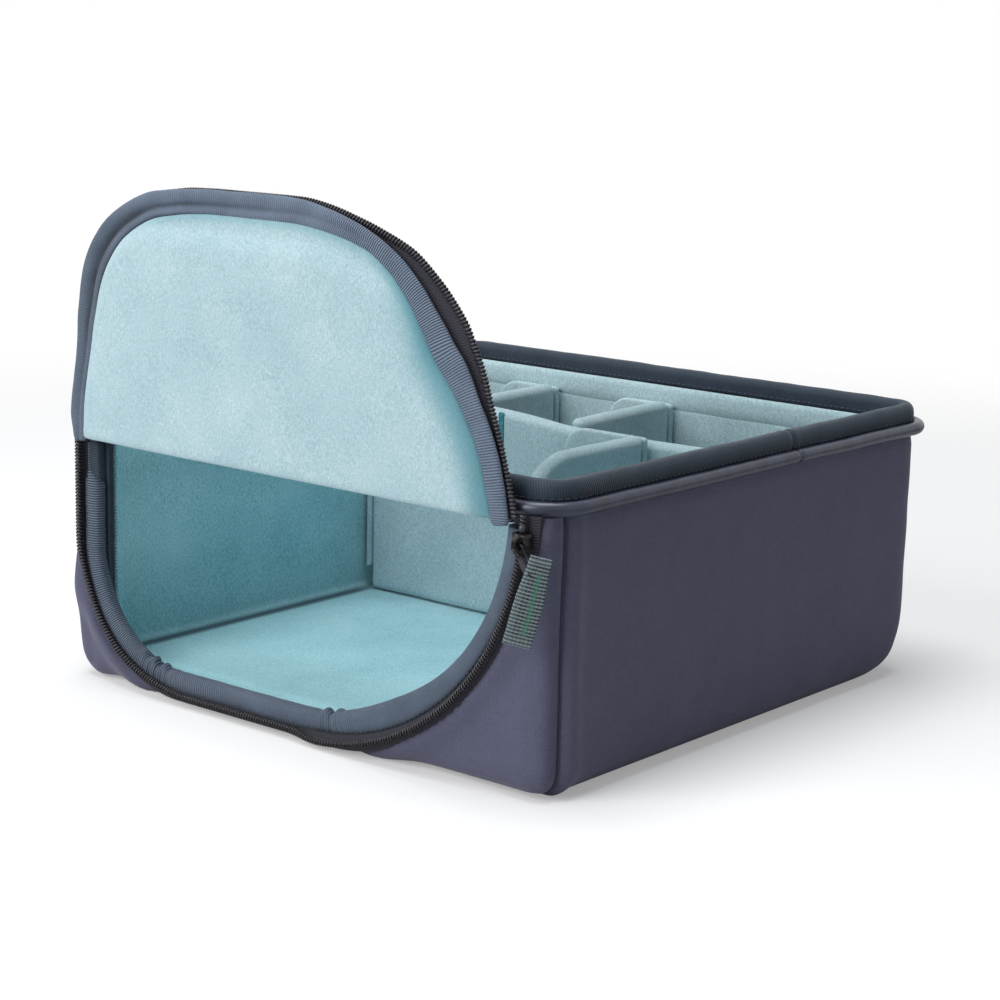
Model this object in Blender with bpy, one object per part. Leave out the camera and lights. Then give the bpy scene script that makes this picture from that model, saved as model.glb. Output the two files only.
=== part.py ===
# Padded camera bag insert: an open-topped box of foam boards between an outer fabric and a brushed
# lining, with four lift-out dividers and a zipped side flap that folds up on a fabric hinge.
# Origin: centre of the underside. +Z up, -Y the end wall with the side opening.

import math

import bmesh
import bpy
from mathutils import Vector

MM = 0.001

# Driving dimensions of the box
WIDTH = 280 * MM
DEPTH = 280 * MM
RIM_TOP = 130 * MM
CLEAR = 0.3 * MM
OVERRUN = 20 * MM
SKIN = 1.2 * MM
LINING = 1.2 * MM
FOAM = 7.0 * MM
CORNER_R = 16 * MM
EDGE_R = 14 * MM
BACK_EDGE_R = 34 * MM
LINING_BACK_R = 10 * MM
PANEL_SEAM_R = 18 * MM
SEAM_REACH = 16 * MM

# Rim
PIPING_R = 3.0 * MM
PIPING_STANDOFF = 2.6 * MM
PIPING_DROP = 10.5 * MM
BINDING_TALL = 8.5 * MM
BINDING_PROUD = 0.3 * MM
BINDING_EASE = 1.6 * MM
FOAM_TONGUE = 4.0 * MM
PAD_DROP = 18.5 * MM
ROLL_LIP = 0.5 * MM

# Outline shared by the side opening and its flap, as the zip runs
OUTLINE_LEFT_MARGIN = 9.0 * MM
OUTLINE_RIGHT_MARGIN = 13 * MM
OUTLINE_BOTTOM = 4.5 * MM
OUTLINE_LEFT_R = 60 * MM
OUTLINE_RIGHT_R = 115 * MM
OPENING_INSET = 10 * MM

# Edge binding and zip of the opening
EDGE_BINDING_START = 3.0 * MM
EDGE_BINDING_WEB = 1.7 * MM
EDGE_BINDING_PROUD = 2.8 * MM
EDGE_BINDING_EASE = 1.0 * MM
TAPE = 0.7 * MM
TAPE_END_DROP = 0.7 * MM
COIL_OFFSET = 2.0 * MM
COIL_HALF = 1.2 * MM
COIL_THICK = 2.2 * MM
COIL_STANDOFF = 6.7 * MM
TOOTH_PITCH = 2.6 * MM
TOOTH_DEPTH = 1.0 * MM
TOOTH_EASE = 0.3 * MM
STOP_TALL = 1.6 * MM
STOP_GROW = 0.4 * MM

# Flap
HINGE_STANDOFF = 7.0 * MM
HINGE_DROP = 15.5 * MM
FLAP_DROP = 0.8 * MM
FLAP_FACE_STANDOFF = 7.9 * MM
FLAP_BINDING_WIDE = 7.5 * MM
FLAP_TAPE = 0.6 * MM
FLAP_BACK_STANDOFF = 3.4 * MM
FLAP_SKIN = 1.0 * MM
FLAP_CROWN = 5.8 * MM
CROWN_FLAT = 1.3 * MM
CROWN_RISE = 2.7 * MM
CROWN_SHOULDER = 6.7 * MM
CROWN_INNER = 16 * MM
FOLD_R = 0.5 * MM
HINGE_TAPE = 1.0 * MM
HINGE_END_GAP = 6.0 * MM

# Slider, link and pull tab
SLIDER_DROP = 7.3 * MM
SLIDER_HALF_LONG = 3.5 * MM
SLIDER_PLATE = 1.0 * MM
SLIDER_NECK = 1.0 * MM
SLIDER_FLANGE = 2.0 * MM
SLIDER_SLOT = 0.4 * MM
BAIL_HALF_LONG = 2.6 * MM
BAIL_HALF_WIDE = 0.9 * MM
BAIL_HOLE = 1.9 * MM
BAIL_THICK = 1.1 * MM
LINK_R = 0.5 * MM
LINK_TOP_HALF = 2.5 * MM
LINK_BOTTOM_HALF = 4.1 * MM
LINK_DROP = 6.0 * MM
LINK_SIDE = 3.8 * MM
LINK_CORNER = 0.6 * MM
LOOP_WIDE = 2.6 * MM
LOOP_THICK = 2.6 * MM
LOOP_HEAD = 1.3 * MM
LOOP_TAIL = 2.6 * MM
TAB_WIDE = 11.5 * MM
TAB_LONG = 37 * MM
TAB_THICK = 1.6 * MM
TAB_HEM = 2.5 * MM
TAB_HEM_DROP = 0.3 * MM

# Dividers
DIVIDER = 8.0 * MM
DIVIDER_DROP = 15 * MM
DIVIDER_SAG = 4.0 * MM
CROSS_Y = 48 * MM
LENS_X = 47 * MM
LENS_REACH = 93 * MM
LENS_CORNER_R = 35 * MM
REAR_RIGHT_X = 0 * MM
REAR_LEFT_BAY = 53 * MM
TAB_WALL = 3.0 * MM
HOOK = 1.2 * MM
TAB_REACH = 40 * MM
TAB_CORNER_R = 13 * MM
TAB_FOOT = 12 * MM
TAB_BELOW_TOP = 1.5 * MM
DIVIDER_CORNER_R = 6 * MM
STRIP_SIDE = 10 * MM
STRIP_FRONT = 6.0 * MM
STRIP = 1.0 * MM

# Counts, shares and angles
CORNER_STEPS = 5
EDGE_STEPS = 4
BACK_STEPS = 5
LEFT_STEPS = 10
RIGHT_STEPS = 14
PIPING_SIDES = 8
WIRE_SIDES = 8
ROUND_STEPS = 6
SLIDER_STEPS = 3
SAG_POINTS = 8
SAG_START_SHARE = 0.42
SAG_END_SHARE = 0.74
CROWN_RISE_SHARE = 0.32
CROWN_SHOULDER_SHARE = 0.75
TAB_LEAN = math.radians(17)
SMOOTH_ANGLE = math.radians(40)

# Worked out from the sizes above
WALL = SKIN + FOAM + LINING + 2 * CLEAR
FOAM_IN = SKIN + CLEAR
LINING_IN = WALL - LINING
FLOOR = WALL
PIPING_Z = RIM_TOP - PIPING_DROP
WALL_TOP = PIPING_Z - PIPING_R - CLEAR
PAD_TOP = RIM_TOP - PAD_DROP
BINDING_BOTTOM = RIM_TOP - BINDING_TALL
SEAM_GROW = CLEAR * math.sqrt(2)
DIVIDER_TOP = RIM_TOP - DIVIDER_DROP
HINGE_Z = RIM_TOP - HINGE_DROP
FLAP_TOP = HINGE_Z - FLAP_DROP
FLAP_INSET = COIL_OFFSET + COIL_HALF + CLEAR + FLAP_BINDING_WIDE + CLEAR
FRONT_FACE = -DEPTH / 2
EDGE_FACE = FRONT_FACE - CLEAR
COIL_Y = FRONT_FACE - COIL_STANDOFF
HINGE_Y = FRONT_FACE - HINGE_STANDOFF
FLAP_FACE = FRONT_FACE - FLAP_FACE_STANDOFF
FLAP_BACK = FRONT_FACE - FLAP_BACK_STANDOFF
LINING_BACK_EDGE = LINING_BACK_R + LINING + CLEAR
OUTLINE_LEFT = OUTLINE_LEFT_MARGIN - WIDTH / 2
OUTLINE_LEFT_X = OUTLINE_LEFT + OUTLINE_LEFT_R
OUTLINE_LEFT_Z = OUTLINE_BOTTOM + OUTLINE_LEFT_R
OUTLINE_RIGHT_X = WIDTH / 2 - OUTLINE_RIGHT_MARGIN - OUTLINE_RIGHT_R
OUTLINE_RIGHT_Z = OUTLINE_BOTTOM + OUTLINE_RIGHT_R
SLIDER_Z = HINGE_Z - SLIDER_DROP
SLIDER_ANGLE = math.asin((SLIDER_Z - OUTLINE_RIGHT_Z) / OUTLINE_RIGHT_R)
SLIDER_MID = COIL_OFFSET + BAIL_HALF_WIDE
BAIL_FACE = COIL_Y - COIL_THICK / 2 - SLIDER_SLOT - SLIDER_PLATE
LINK_Y = BAIL_FACE - BAIL_HOLE / 2

PALETTE = {
    "outer_fabric": ((0.118, 0.118, 0.205), 0.8, 0.0),
    "foam": ((0.30, 0.31, 0.33), 0.95, 0.0),
    "lining": ((0.25, 0.46, 0.50), 0.95, 0.0),
    "binding": ((0.06, 0.10, 0.155), 0.75, 0.0),
    "piping": ((0.045, 0.055, 0.09), 0.35, 0.0),
    "zip_tape": ((0.03, 0.03, 0.045), 0.8, 0.0),
    "zip_coil": ((0.012, 0.012, 0.015), 0.4, 0.0),
    "hook_strip": ((0.05, 0.11, 0.13), 0.9, 0.0),
    "gunmetal": ((0.10, 0.10, 0.11), 0.35, 1.0),
    "woven_tab": ((0.15, 0.22, 0.23), 0.85, 0.0),
}


def clear_scene():
    for old in list(bpy.data.objects):
        bpy.data.objects.remove(old)


def paint(name):
    colour, roughness, metallic = PALETTE[name]
    made = bpy.data.materials.get(name) or bpy.data.materials.new(name)
    made.use_nodes = True
    shader = made.node_tree.nodes["Principled BSDF"]
    shader.inputs["Base Color"].default_value = (*colour, 1)
    shader.inputs["Roughness"].default_value = roughness
    shader.inputs["Metallic"].default_value = metallic
    return made


def add_mesh(name, mesh_data, finish):
    bmesh.ops.recalc_face_normals(mesh_data, faces=mesh_data.faces)
    mesh = bpy.data.meshes.new(name)
    mesh_data.to_mesh(mesh)
    mesh_data.free()
    made = bpy.data.objects.new(name, mesh)
    bpy.context.scene.collection.objects.link(made)
    if finish:
        mesh.materials.append(paint(finish))
        mesh.shade_smooth()
        mesh.set_sharp_from_angle(angle=SMOOTH_ANGLE)
    else:
        made.hide_render = True
        made.display_type = "WIRE"
    return made


def loft(name, loops, finish=None, ring=False):
    """Skins a list of equal loops; a ring joins its last loop to its first, and the rest are capped."""
    made = bmesh.new()
    rows = [[made.verts.new(point) for point in loop] for loop in loops]
    pairs = list(zip(rows, rows[1:]))
    if ring:
        pairs.append((rows[-1], rows[0]))
    for low, high in pairs:
        for i, point in enumerate(low):
            j = (i + 1) % len(low)
            made.faces.new((point, low[j], high[j], high[i]))
    if not ring:
        made.faces.new(rows[0])
        made.faces.new(rows[-1])
    return add_mesh(name, made, finish)


def carve(target, operation, *cutters):
    for cutter in cutters:
        step = target.modifiers.new(f"{operation.lower()} {cutter.name}", "BOOLEAN")
        step.operation = operation
        step.object = cutter
        step.solver = "EXACT"
    return target


def cut(target, *cutters):
    return carve(target, "DIFFERENCE", *cutters)


def keep(target, *cutters):
    return carve(target, "INTERSECT", *cutters)


def rounded_loop(x_half, y_low, y_high, radius, steps=CORNER_STEPS):
    """Corner points of a rounded rectangle, counter-clockwise from its right front corner."""
    corners = [(x_half, y_low, -90), (x_half, y_high, 0), (-x_half, y_high, 90), (-x_half, y_low, 180)]
    points = []
    for x, y, start in corners:
        centre_x = x - math.copysign(radius, x)
        centre_y = y + radius if y == y_low else y - radius
        for i in range(steps + 1):
            turn = math.radians(start + 90 * i / steps)
            points.append((centre_x + radius * math.cos(turn), centre_y + radius * math.sin(turn)))
    return points


def plan_loop(inset, z):
    loop = rounded_loop(WIDTH / 2 - inset, inset - DEPTH / 2, DEPTH / 2 - inset, CORNER_R - inset)
    return [(x, y, z) for x, y in loop]


def edge_draw(radius, height):
    """How far a rounded bottom edge lies inside its wall at a height above the floor."""
    if height >= radius:
        return 0.0
    return radius - math.sqrt(radius**2 - (radius - height) ** 2)


def tub(name, inset, back_radius, top, finish=None):
    """The solid inside the box at one depth in from its outer face, with its rounded bottom edges."""
    edge = EDGE_R - inset
    levels = {edge * (1 - math.cos(math.radians(90 * i / EDGE_STEPS))) for i in range(EDGE_STEPS + 1)}
    for i in range(1, BACK_STEPS + 1):
        levels.add(back_radius * (1 - math.cos(math.radians(90 * i / BACK_STEPS))))
    kept = []
    for level in sorted(levels):
        if not kept or level - kept[-1] > CLEAR:
            kept.append(level)
    loops = []
    for level in kept:
        side = inset + edge_draw(edge, level)
        back = inset + edge_draw(back_radius, level)
        loop = rounded_loop(WIDTH / 2 - side, side - DEPTH / 2, DEPTH / 2 - back, CORNER_R - inset)
        loops.append([(x, y, inset + level) for x, y in loop])
    loops.append([(x, y, top) for x, y, z in loops[-1]])
    return loft(name, loops, finish)


def front_wedge(name, grow):
    """Where the front panels lie: its sides run in at 45 degrees from the box's front edges."""
    loops = []
    for depth in (-OVERRUN, SEAM_REACH):
        low = depth - grow
        high = RIM_TOP + OVERRUN
        radius = PANEL_SEAM_R - depth
        loop = rounded_loop(WIDTH / 2 - depth + grow, low, high, radius)
        loops.append([(x, depth - DEPTH / 2, z) for x, z in loop])
    return loft(name, loops)


def base_wedge(name, grow):
    loops = []
    for depth in (-OVERRUN, SEAM_REACH):
        side = depth - grow
        loop = rounded_loop(WIDTH / 2 - side, side - DEPTH / 2, DEPTH / 2 - side, PANEL_SEAM_R - depth)
        loops.append([(x, y, depth) for x, y in loop])
    return loft(name, loops)


def back_wedge(name, grow):
    loops = []
    for depth in (-OVERRUN, SEAM_REACH):
        half = WIDTH / 2 - depth + grow
        y = DEPTH / 2 - depth
        low, high = -OVERRUN, RIM_TOP + OVERRUN
        loops.append([(-half, y, low), (half, y, low), (half, y, high), (-half, y, high)])
    return loft(name, loops)


def box(name, low, high, finish=None):
    loops = []
    for z in (low[2], high[2]):
        corners = [(low[0], low[1]), (high[0], low[1]), (high[0], high[1]), (low[0], high[1])]
        loops.append([(x, y, z) for x, y in corners])
    return loft(name, loops, finish)


def outline(inset, top):
    """Points (x, z, outward x, outward z) of the zip's outline from its left end round to its right."""
    points = [(OUTLINE_LEFT + inset, top, -1.0, 0.0)]
    for i in range(LEFT_STEPS + 1):
        turn = math.radians(180 + 90 * i / LEFT_STEPS)
        points.append(on_arc(OUTLINE_LEFT_X, OUTLINE_LEFT_Z, OUTLINE_LEFT_R - inset, turn))
    radius = OUTLINE_RIGHT_R - inset
    start = math.radians(-90)
    end = math.asin((top - OUTLINE_RIGHT_Z) / radius)
    for i in range(RIGHT_STEPS + 1):
        turn = start + (end - start) * i / RIGHT_STEPS
        points.append(on_arc(OUTLINE_RIGHT_X, OUTLINE_RIGHT_Z, radius, turn))
    return square_end(points)


def square_end(stations):
    """Turns the last station level, so that a sweep ends flat under the flap's fold."""
    x, z, *_ = stations[-1]
    return stations[:-1] + [(x, z, 1.0, 0.0)]


def on_arc(x, z, radius, turn):
    return (x + radius * math.cos(turn), z + radius * math.sin(turn), math.cos(turn), math.sin(turn))


def zip_stations(top, spacing):
    """Points evenly spaced along the whole outline, for what repeats along the zip."""
    end = math.asin((top - OUTLINE_RIGHT_Z) / OUTLINE_RIGHT_R) + math.radians(90)
    straight = top - OUTLINE_LEFT_Z
    left_arc = OUTLINE_LEFT_R * math.radians(90)
    bottom = OUTLINE_RIGHT_X - OUTLINE_LEFT_X
    whole = straight + left_arc + bottom + OUTLINE_RIGHT_R * end
    count = 2 * round(whole / spacing / 2)
    stations = []
    for i in range(count + 1):
        along = whole * i / count
        if along < straight:
            stations.append((OUTLINE_LEFT, top - along, -1.0, 0.0))
            continue
        along -= straight
        if along < left_arc:
            turn = math.radians(180) + along / OUTLINE_LEFT_R
            stations.append(on_arc(OUTLINE_LEFT_X, OUTLINE_LEFT_Z, OUTLINE_LEFT_R, turn))
            continue
        along -= left_arc
        if along < bottom:
            stations.append((OUTLINE_LEFT_X + along, OUTLINE_BOTTOM, 0.0, -1.0))
            continue
        turn = math.radians(-90) + (along - bottom) / OUTLINE_RIGHT_R
        stations.append(on_arc(OUTLINE_RIGHT_X, OUTLINE_RIGHT_Z, OUTLINE_RIGHT_R, turn))
    return square_end(stations)


def section_at(station, section):
    """A section's (inset from the outline, y) points set square across the zip at one station."""
    x, z, out_x, out_z = station
    return [(x - out_x * inset, y, z - out_z * inset) for inset, y in section]


def sweep(name, stations, section, finish):
    return loft(name, [section_at(station, section) for station in stations], finish)


def opening_cutter(name, top):
    loop = outline(OPENING_INSET, top)
    loops = [[(x, y, z) for x, z, *_ in loop] for y in (FRONT_FACE - OVERRUN, FRONT_FACE + OVERRUN)]
    return loft(name, loops)


def rim_ring(name, section, finish=None):
    """Turns a section of (inset, z) points round the plan of the box."""
    loops = [plan_loop(inset, z) for inset, z in section]
    return loft(name, loops, finish, ring=True)


def build_box():
    front_seam = front_wedge("front_seam", 0)
    front_gap = front_wedge("front_gap", SEAM_GROW)
    base_seam = base_wedge("base_seam", 0)
    base_gap = base_wedge("base_gap", SEAM_GROW)
    opening = opening_cutter("opening_cutter", PAD_TOP)
    lining_opening = opening_cutter("lining_opening_cutter", PAD_TOP + OVERRUN)
    layers = {
        "outer": (0, BACK_EDGE_R, SKIN, BACK_EDGE_R - SKIN, WALL_TOP, "outer_fabric"),
        "foam": (FOAM_IN, BACK_EDGE_R - FOAM_IN, FOAM_IN + FOAM, LINING_BACK_EDGE, WALL_TOP, "foam"),
        "lining": (LINING_IN, LINING_BACK_R + LINING, WALL, LINING_BACK_R, PAD_TOP, "lining"),
    }
    chamfer = foam_chamfer()
    back_seam = back_wedge("back_seam", 0)
    back_gap = back_wedge("back_gap", SEAM_GROW)
    for layer, (outside, outside_back, inside, inside_back, top, finish) in layers.items():
        hollow = tub(f"{layer}_hollow", inside, inside_back, RIM_TOP + OVERRUN)

        def shell(name):
            return cut(tub(name, outside, outside_back, top, finish), hollow)

        cut(keep(shell(f"front_{layer}"), front_seam), lining_opening if layer == "lining" else opening)
        cut(keep(shell(f"base_{layer}"), base_seam), front_gap)
        if layer != "foam":
            cut(shell(f"{layer}_wrap"), front_gap, base_gap)
            continue
        cut(bpy.data.objects["front_foam"], chamfer)
        keep(cut(shell("back_foam"), front_gap, base_gap, chamfer), back_seam)
        reach = (WIDTH, DEPTH, RIM_TOP + OVERRUN)
        right_half = box("right_half", (0, -DEPTH, -OVERRUN), reach)
        left_half = box("left_half", (-WIDTH, -DEPTH, -OVERRUN), (0, DEPTH, RIM_TOP + OVERRUN))
        keep(cut(shell("right_foam"), front_gap, base_gap, chamfer, back_gap), right_half)
        keep(cut(shell("left_foam"), front_gap, base_gap, chamfer, back_gap), left_half)


def foam_chamfer():
    """Bevels the foam's inner top edge and leaves a tongue under the rim."""
    tongue = FOAM_IN + FOAM_TONGUE
    inner = FOAM_IN + FOAM
    past = WALL + CLEAR
    rise = inner - tongue
    section = [
        (tongue, PAD_TOP + rise),
        (past, PAD_TOP - (past - inner)),
        (past, RIM_TOP),
        (tongue, RIM_TOP),
    ]
    return rim_ring("foam_chamfer", section)


def build_rim():
    circle = []
    for i in range(PIPING_SIDES):
        turn = math.radians(360 * i / PIPING_SIDES)
        circle.append((PIPING_R * math.cos(turn) - PIPING_STANDOFF, PIPING_Z + PIPING_R * math.sin(turn)))
    rim_ring("rim_piping", circle, "piping")
    inner = FOAM_IN + FOAM_TONGUE
    start = PIPING_R - PIPING_STANDOFF + CLEAR
    low = WALL_TOP + CLEAR
    high = BINDING_BOTTOM - CLEAR
    rim_ring("rim_seam_tape", [(start, low), (inner, low), (inner, high), (start, high)], "zip_tape")
    facing_in = inner + CLEAR
    rise = LINING_IN - facing_in
    facing_low = PAD_TOP + CLEAR
    facing = [
        (LINING_IN, facing_low),
        (WALL, facing_low),
        (WALL, facing_low + ROLL_LIP),
        (facing_in + LINING, facing_low + rise + ROLL_LIP),
        (facing_in + LINING, high),
        (facing_in, high),
        (facing_in, facing_low + rise),
    ]
    rim_ring("rim_facing", facing, "lining")
    outside, inside = -BINDING_PROUD, facing_in + LINING
    binding = [
        (outside, BINDING_BOTTOM),
        (inside, BINDING_BOTTOM),
        (inside, RIM_TOP - BINDING_EASE),
        (inside - BINDING_EASE, RIM_TOP),
        (outside + BINDING_EASE, RIM_TOP),
        (outside, RIM_TOP - BINDING_EASE),
    ]
    rim_ring("rim_binding", binding, "binding")


def build_corner_bindings():
    """Grosgrain strips over the lining's seams in the two front inside corners."""
    outside, inside = WALL + CLEAR, WALL + CLEAR + STRIP
    low = EDGE_R + CLEAR * 2
    high = PAD_TOP - CLEAR
    for side, name in ((1, "corner_binding_right"), (-1, "corner_binding_left")):
        edge = []
        for inset in (outside, inside):
            corner = rounded_loop(WIDTH / 2 - inset, inset - DEPTH / 2, 0, CORNER_R - inset)
            front = corner[: CORNER_STEPS + 1]
            x_end = WIDTH / 2 - WALL - STRIP_FRONT
            y_end = WALL + STRIP_SIDE - DEPTH / 2
            edge.append([(x_end, front[0][1])] + front + [(front[-1][0], y_end)])
        loop = edge[0] + edge[1][::-1]
        loft(name, [[(side * x, y, z) for x, y in loop] for z in (low, high)], "binding")


def build_opening_edge():
    """The bound edge of the opening, with the zip's tape and its fixed coil standing off it."""
    start, web_end = EDGE_BINDING_START, OPENING_INSET + CLEAR + EDGE_BINDING_WEB
    proud = EDGE_FACE - EDGE_BINDING_PROUD
    inner_y = FRONT_FACE + WALL + STRIP
    binding = [
        (start, EDGE_FACE),
        (start, EDGE_FACE - EDGE_BINDING_EASE),
        (start + EDGE_BINDING_EASE, proud),
        (web_end - EDGE_BINDING_EASE, proud),
        (web_end, proud + EDGE_BINDING_EASE),
        (web_end, inner_y),
        (OPENING_INSET + CLEAR, inner_y),
        (OPENING_INSET + CLEAR, EDGE_FACE),
    ]
    sweep("opening_binding", outline(0, PAD_TOP - CLEAR), binding, "binding")
    tape_in = start - CLEAR
    leg_in = TAPE / 2 - COIL_OFFSET
    leg_out = -TAPE / 2 - COIL_OFFSET
    leg_face = COIL_Y + COIL_THICK / 2 + CLEAR
    tape = [
        (tape_in, EDGE_FACE),
        (tape_in, EDGE_FACE - TAPE),
        (leg_in, EDGE_FACE - TAPE),
        (leg_in, leg_face),
        (leg_out, leg_face),
        (leg_out, EDGE_FACE),
    ]
    sweep("opening_zip_tape", outline(0, FLAP_TOP - TAPE_END_DROP), tape, "zip_tape")


def coil_loops(stations, side):
    """Teeth and the gaps between them in turn along a zip half; side 1 is the box's, -1 the flap's."""
    loops = []
    for i, station in enumerate(stations):
        tooth = i % 2 == 0
        tip = COIL_HALF - COIL_OFFSET if tooth else COIL_HALF - COIL_OFFSET - TOOTH_DEPTH
        heel = -COIL_HALF - COIL_OFFSET
        half = COIL_THICK / 2 - (0 if tooth else TOOTH_EASE)
        section = [(side * tip, COIL_Y - half), (side * tip, COIL_Y + half)]
        section += [(side * heel, COIL_Y + half), (side * heel, COIL_Y - half)]
        loops.append(section_at(station, section))
    return loops


def build_opening_zip():
    stop_high = FLAP_TOP - TAPE_END_DROP
    stop_low = stop_high - STOP_TALL
    stations = zip_stations(stop_low - CLEAR, TOOTH_PITCH / 2)
    loft("opening_zip_coil", coil_loops(stations, 1), "zip_coil")
    tip, heel = COIL_HALF - COIL_OFFSET, -COIL_HALF - COIL_OFFSET - STOP_GROW
    low_y = COIL_Y - COIL_THICK / 2 - STOP_GROW
    section = [(tip, low_y), (tip, COIL_Y), (tip, COIL_Y + COIL_THICK / 2)]
    section += [(heel, COIL_Y + COIL_THICK / 2), (heel, low_y)]
    upper, lower = outline(0, stop_high), outline(0, stop_low)
    sweep("zip_stop_left", [upper[0], lower[0]], section, "zip_coil")
    sweep("zip_stop_right", [lower[-1], upper[-1]], section, "zip_coil")


def build_hinge_tape():
    """Sewn along the top of the front wall: it carries the flap's fold under the piping."""
    reach = HINGE_Y + FOLD_R + CLEAR
    leg_low = PAD_TOP + CLEAR
    high = HINGE_Z + HINGE_TAPE / 2
    low = HINGE_Z - HINGE_TAPE / 2
    section = [
        (EDGE_FACE, leg_low),
        (EDGE_FACE, high),
        (reach, high),
        (reach, low),
        (EDGE_FACE - HINGE_TAPE, low),
        (EDGE_FACE - HINGE_TAPE, leg_low),
    ]
    loft("flap_hinge_tape", [[(x, y, z) for y, z in section] for x in hinge_ends()], "outer_fabric")


def hinge_ends():
    ends = outline(EDGE_BINDING_START, FLAP_TOP)
    return ends[0][0] + HINGE_END_GAP, ends[-1][0] - HINGE_END_GAP


def place_on(made, parent):
    """Moves a piece's mesh so that its origin lies on its joint's axis, and parents it there."""
    made.data.transform(parent.matrix_world.inverted())
    made.parent = parent
    return made


def pivot(name, place):
    made = bpy.data.objects.new(name, None)
    made.location = place
    bpy.context.scene.collection.objects.link(made)
    bpy.context.view_layer.update()
    return made


def crown_steps():
    """(inset from the outline, rise) of the flap's padded face, from its binding to its middle."""
    edge = FLAP_INSET
    return [
        (edge, 0.0),
        (edge + CROWN_FLAT, 0.0),
        (edge + CROWN_RISE, FLAP_CROWN * CROWN_RISE_SHARE),
        (edge + CROWN_SHOULDER, FLAP_CROWN * CROWN_SHOULDER_SHARE),
        (edge + CROWN_INNER, FLAP_CROWN),
    ]


def flap_loop(inset, y):
    """The flap's panel outline at an inset, at y as the flap lies when it is zipped shut."""
    return [(x, y, z) for x, z, *_ in outline(inset, FLAP_TOP - (inset - FLAP_INSET))]


def build_flap():
    """Modelled shut, against the opening, then turned up about the fold to how it stands open."""
    face, back = FLAP_FACE, FLAP_BACK
    binding_in = FLAP_INSET - CLEAR
    binding_out = binding_in - FLAP_BINDING_WIDE
    tape_back = face + FLAP_TAPE
    lining_front = back - FLAP_SKIN
    foam_front = face + FLAP_SKIN + CLEAR
    pieces = []
    skin = [flap_loop(FLAP_INSET, face), flap_loop(FLAP_INSET, face + FLAP_SKIN)]
    pieces.append(loft("flap_outer", skin, "outer_fabric"))
    foam = [flap_loop(FLAP_INSET, foam_front)]
    foam += [flap_loop(inset, lining_front - CLEAR + rise) for inset, rise in crown_steps()]
    pieces.append(loft("flap_foam", foam, "foam"))
    steps = crown_steps()
    lining = [flap_loop(inset, lining_front + rise) for inset, rise in steps[::-1]]
    lining += [flap_loop(inset, back + rise) for inset, rise in steps]
    pieces.append(loft("flap_lining", lining, "lining"))
    ease = BINDING_EASE / 2
    binding = [
        (binding_out, tape_back + CLEAR),
        (binding_out, back - ease),
        (binding_out + ease, back),
        (binding_in, back),
        (binding_in, tape_back + CLEAR),
    ]
    rail = outline(0, FLAP_TOP)
    pieces.append(sweep("flap_binding", rail, binding, "binding"))
    tape_out = COIL_OFFSET + COIL_HALF + CLEAR
    tape = [(tape_out, face), (tape_out, tape_back), (binding_in, tape_back), (binding_in, face)]
    pieces.append(sweep("flap_zip_tape", rail, tape, "zip_tape"))
    stations = zip_stations(FLAP_TOP, TOOTH_PITCH / 2)
    pieces.append(loft("flap_zip_coil", coil_loops(stations, -1), "zip_coil"))
    pieces.append(build_fold())
    hinge = pivot("flap_hinge", (0, HINGE_Y, HINGE_Z))
    for made in pieces:
        place_on(made, hinge)
    hinge.rotation_euler.x = math.radians(180)


def build_fold():
    loops = []
    for x in hinge_ends():
        loop = []
        for i in range(PIPING_SIDES):
            turn = math.radians(360 * i / PIPING_SIDES)
            loop.append((x, HINGE_Y + FOLD_R * math.cos(turn), HINGE_Z + FOLD_R * math.sin(turn)))
        loops.append(loop)
    return loft("flap_fold", loops, "outer_fabric")


def slider_frame():
    """Place on the zip, and its outward and downhill directions, where the slider is parked."""
    out = Vector((math.cos(SLIDER_ANGLE), 0, math.sin(SLIDER_ANGLE)))
    down = Vector((math.sin(SLIDER_ANGLE), 0, -math.cos(SLIDER_ANGLE)))
    centre = Vector((OUTLINE_RIGHT_X, 0, OUTLINE_RIGHT_Z))
    return centre + out * (OUTLINE_RIGHT_R + SLIDER_MID), out, down


def build_slider():
    """A channel round the fixed coil, open behind for its tape, with a bail for the link."""
    front = COIL_Y - COIL_THICK / 2 - SLIDER_SLOT
    rear = COIL_Y + COIL_THICK / 2 + CLEAR
    neck_in = SLIDER_NECK / 2
    outer = -COIL_OFFSET - COIL_HALF - CLEAR - SLIDER_FLANGE
    slot_in = -COIL_OFFSET + TAPE / 2 + SLIDER_SLOT
    slot_out = -COIL_OFFSET - TAPE / 2 - SLIDER_SLOT
    section = [
        (neck_in, front - SLIDER_PLATE),
        (neck_in, rear + SLIDER_PLATE),
        (slot_in, rear + SLIDER_PLATE),
        (slot_in, rear),
        (-neck_in, rear),
        (-neck_in, front),
        (outer + SLIDER_FLANGE, front),
        (outer + SLIDER_FLANGE, rear),
        (slot_out, rear),
        (slot_out, rear + SLIDER_PLATE),
        (outer, rear + SLIDER_PLATE),
        (outer, front - SLIDER_PLATE),
    ]
    swing = SLIDER_HALF_LONG / OUTLINE_RIGHT_R
    stations = []
    for i in range(SLIDER_STEPS + 1):
        turn = SLIDER_ANGLE + swing * (2 * i / SLIDER_STEPS - 1)
        stations.append(on_arc(OUTLINE_RIGHT_X, OUTLINE_RIGHT_Z, OUTLINE_RIGHT_R, turn))
    body = sweep("slider_body", stations, section, "gunmetal")
    bail = build_bail()
    track = pivot("slider_track", (OUTLINE_RIGHT_X, COIL_Y, OUTLINE_RIGHT_Z))
    for made in (body, bail):
        place_on(made, track)
    return carve(body, "UNION", bail)


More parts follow.
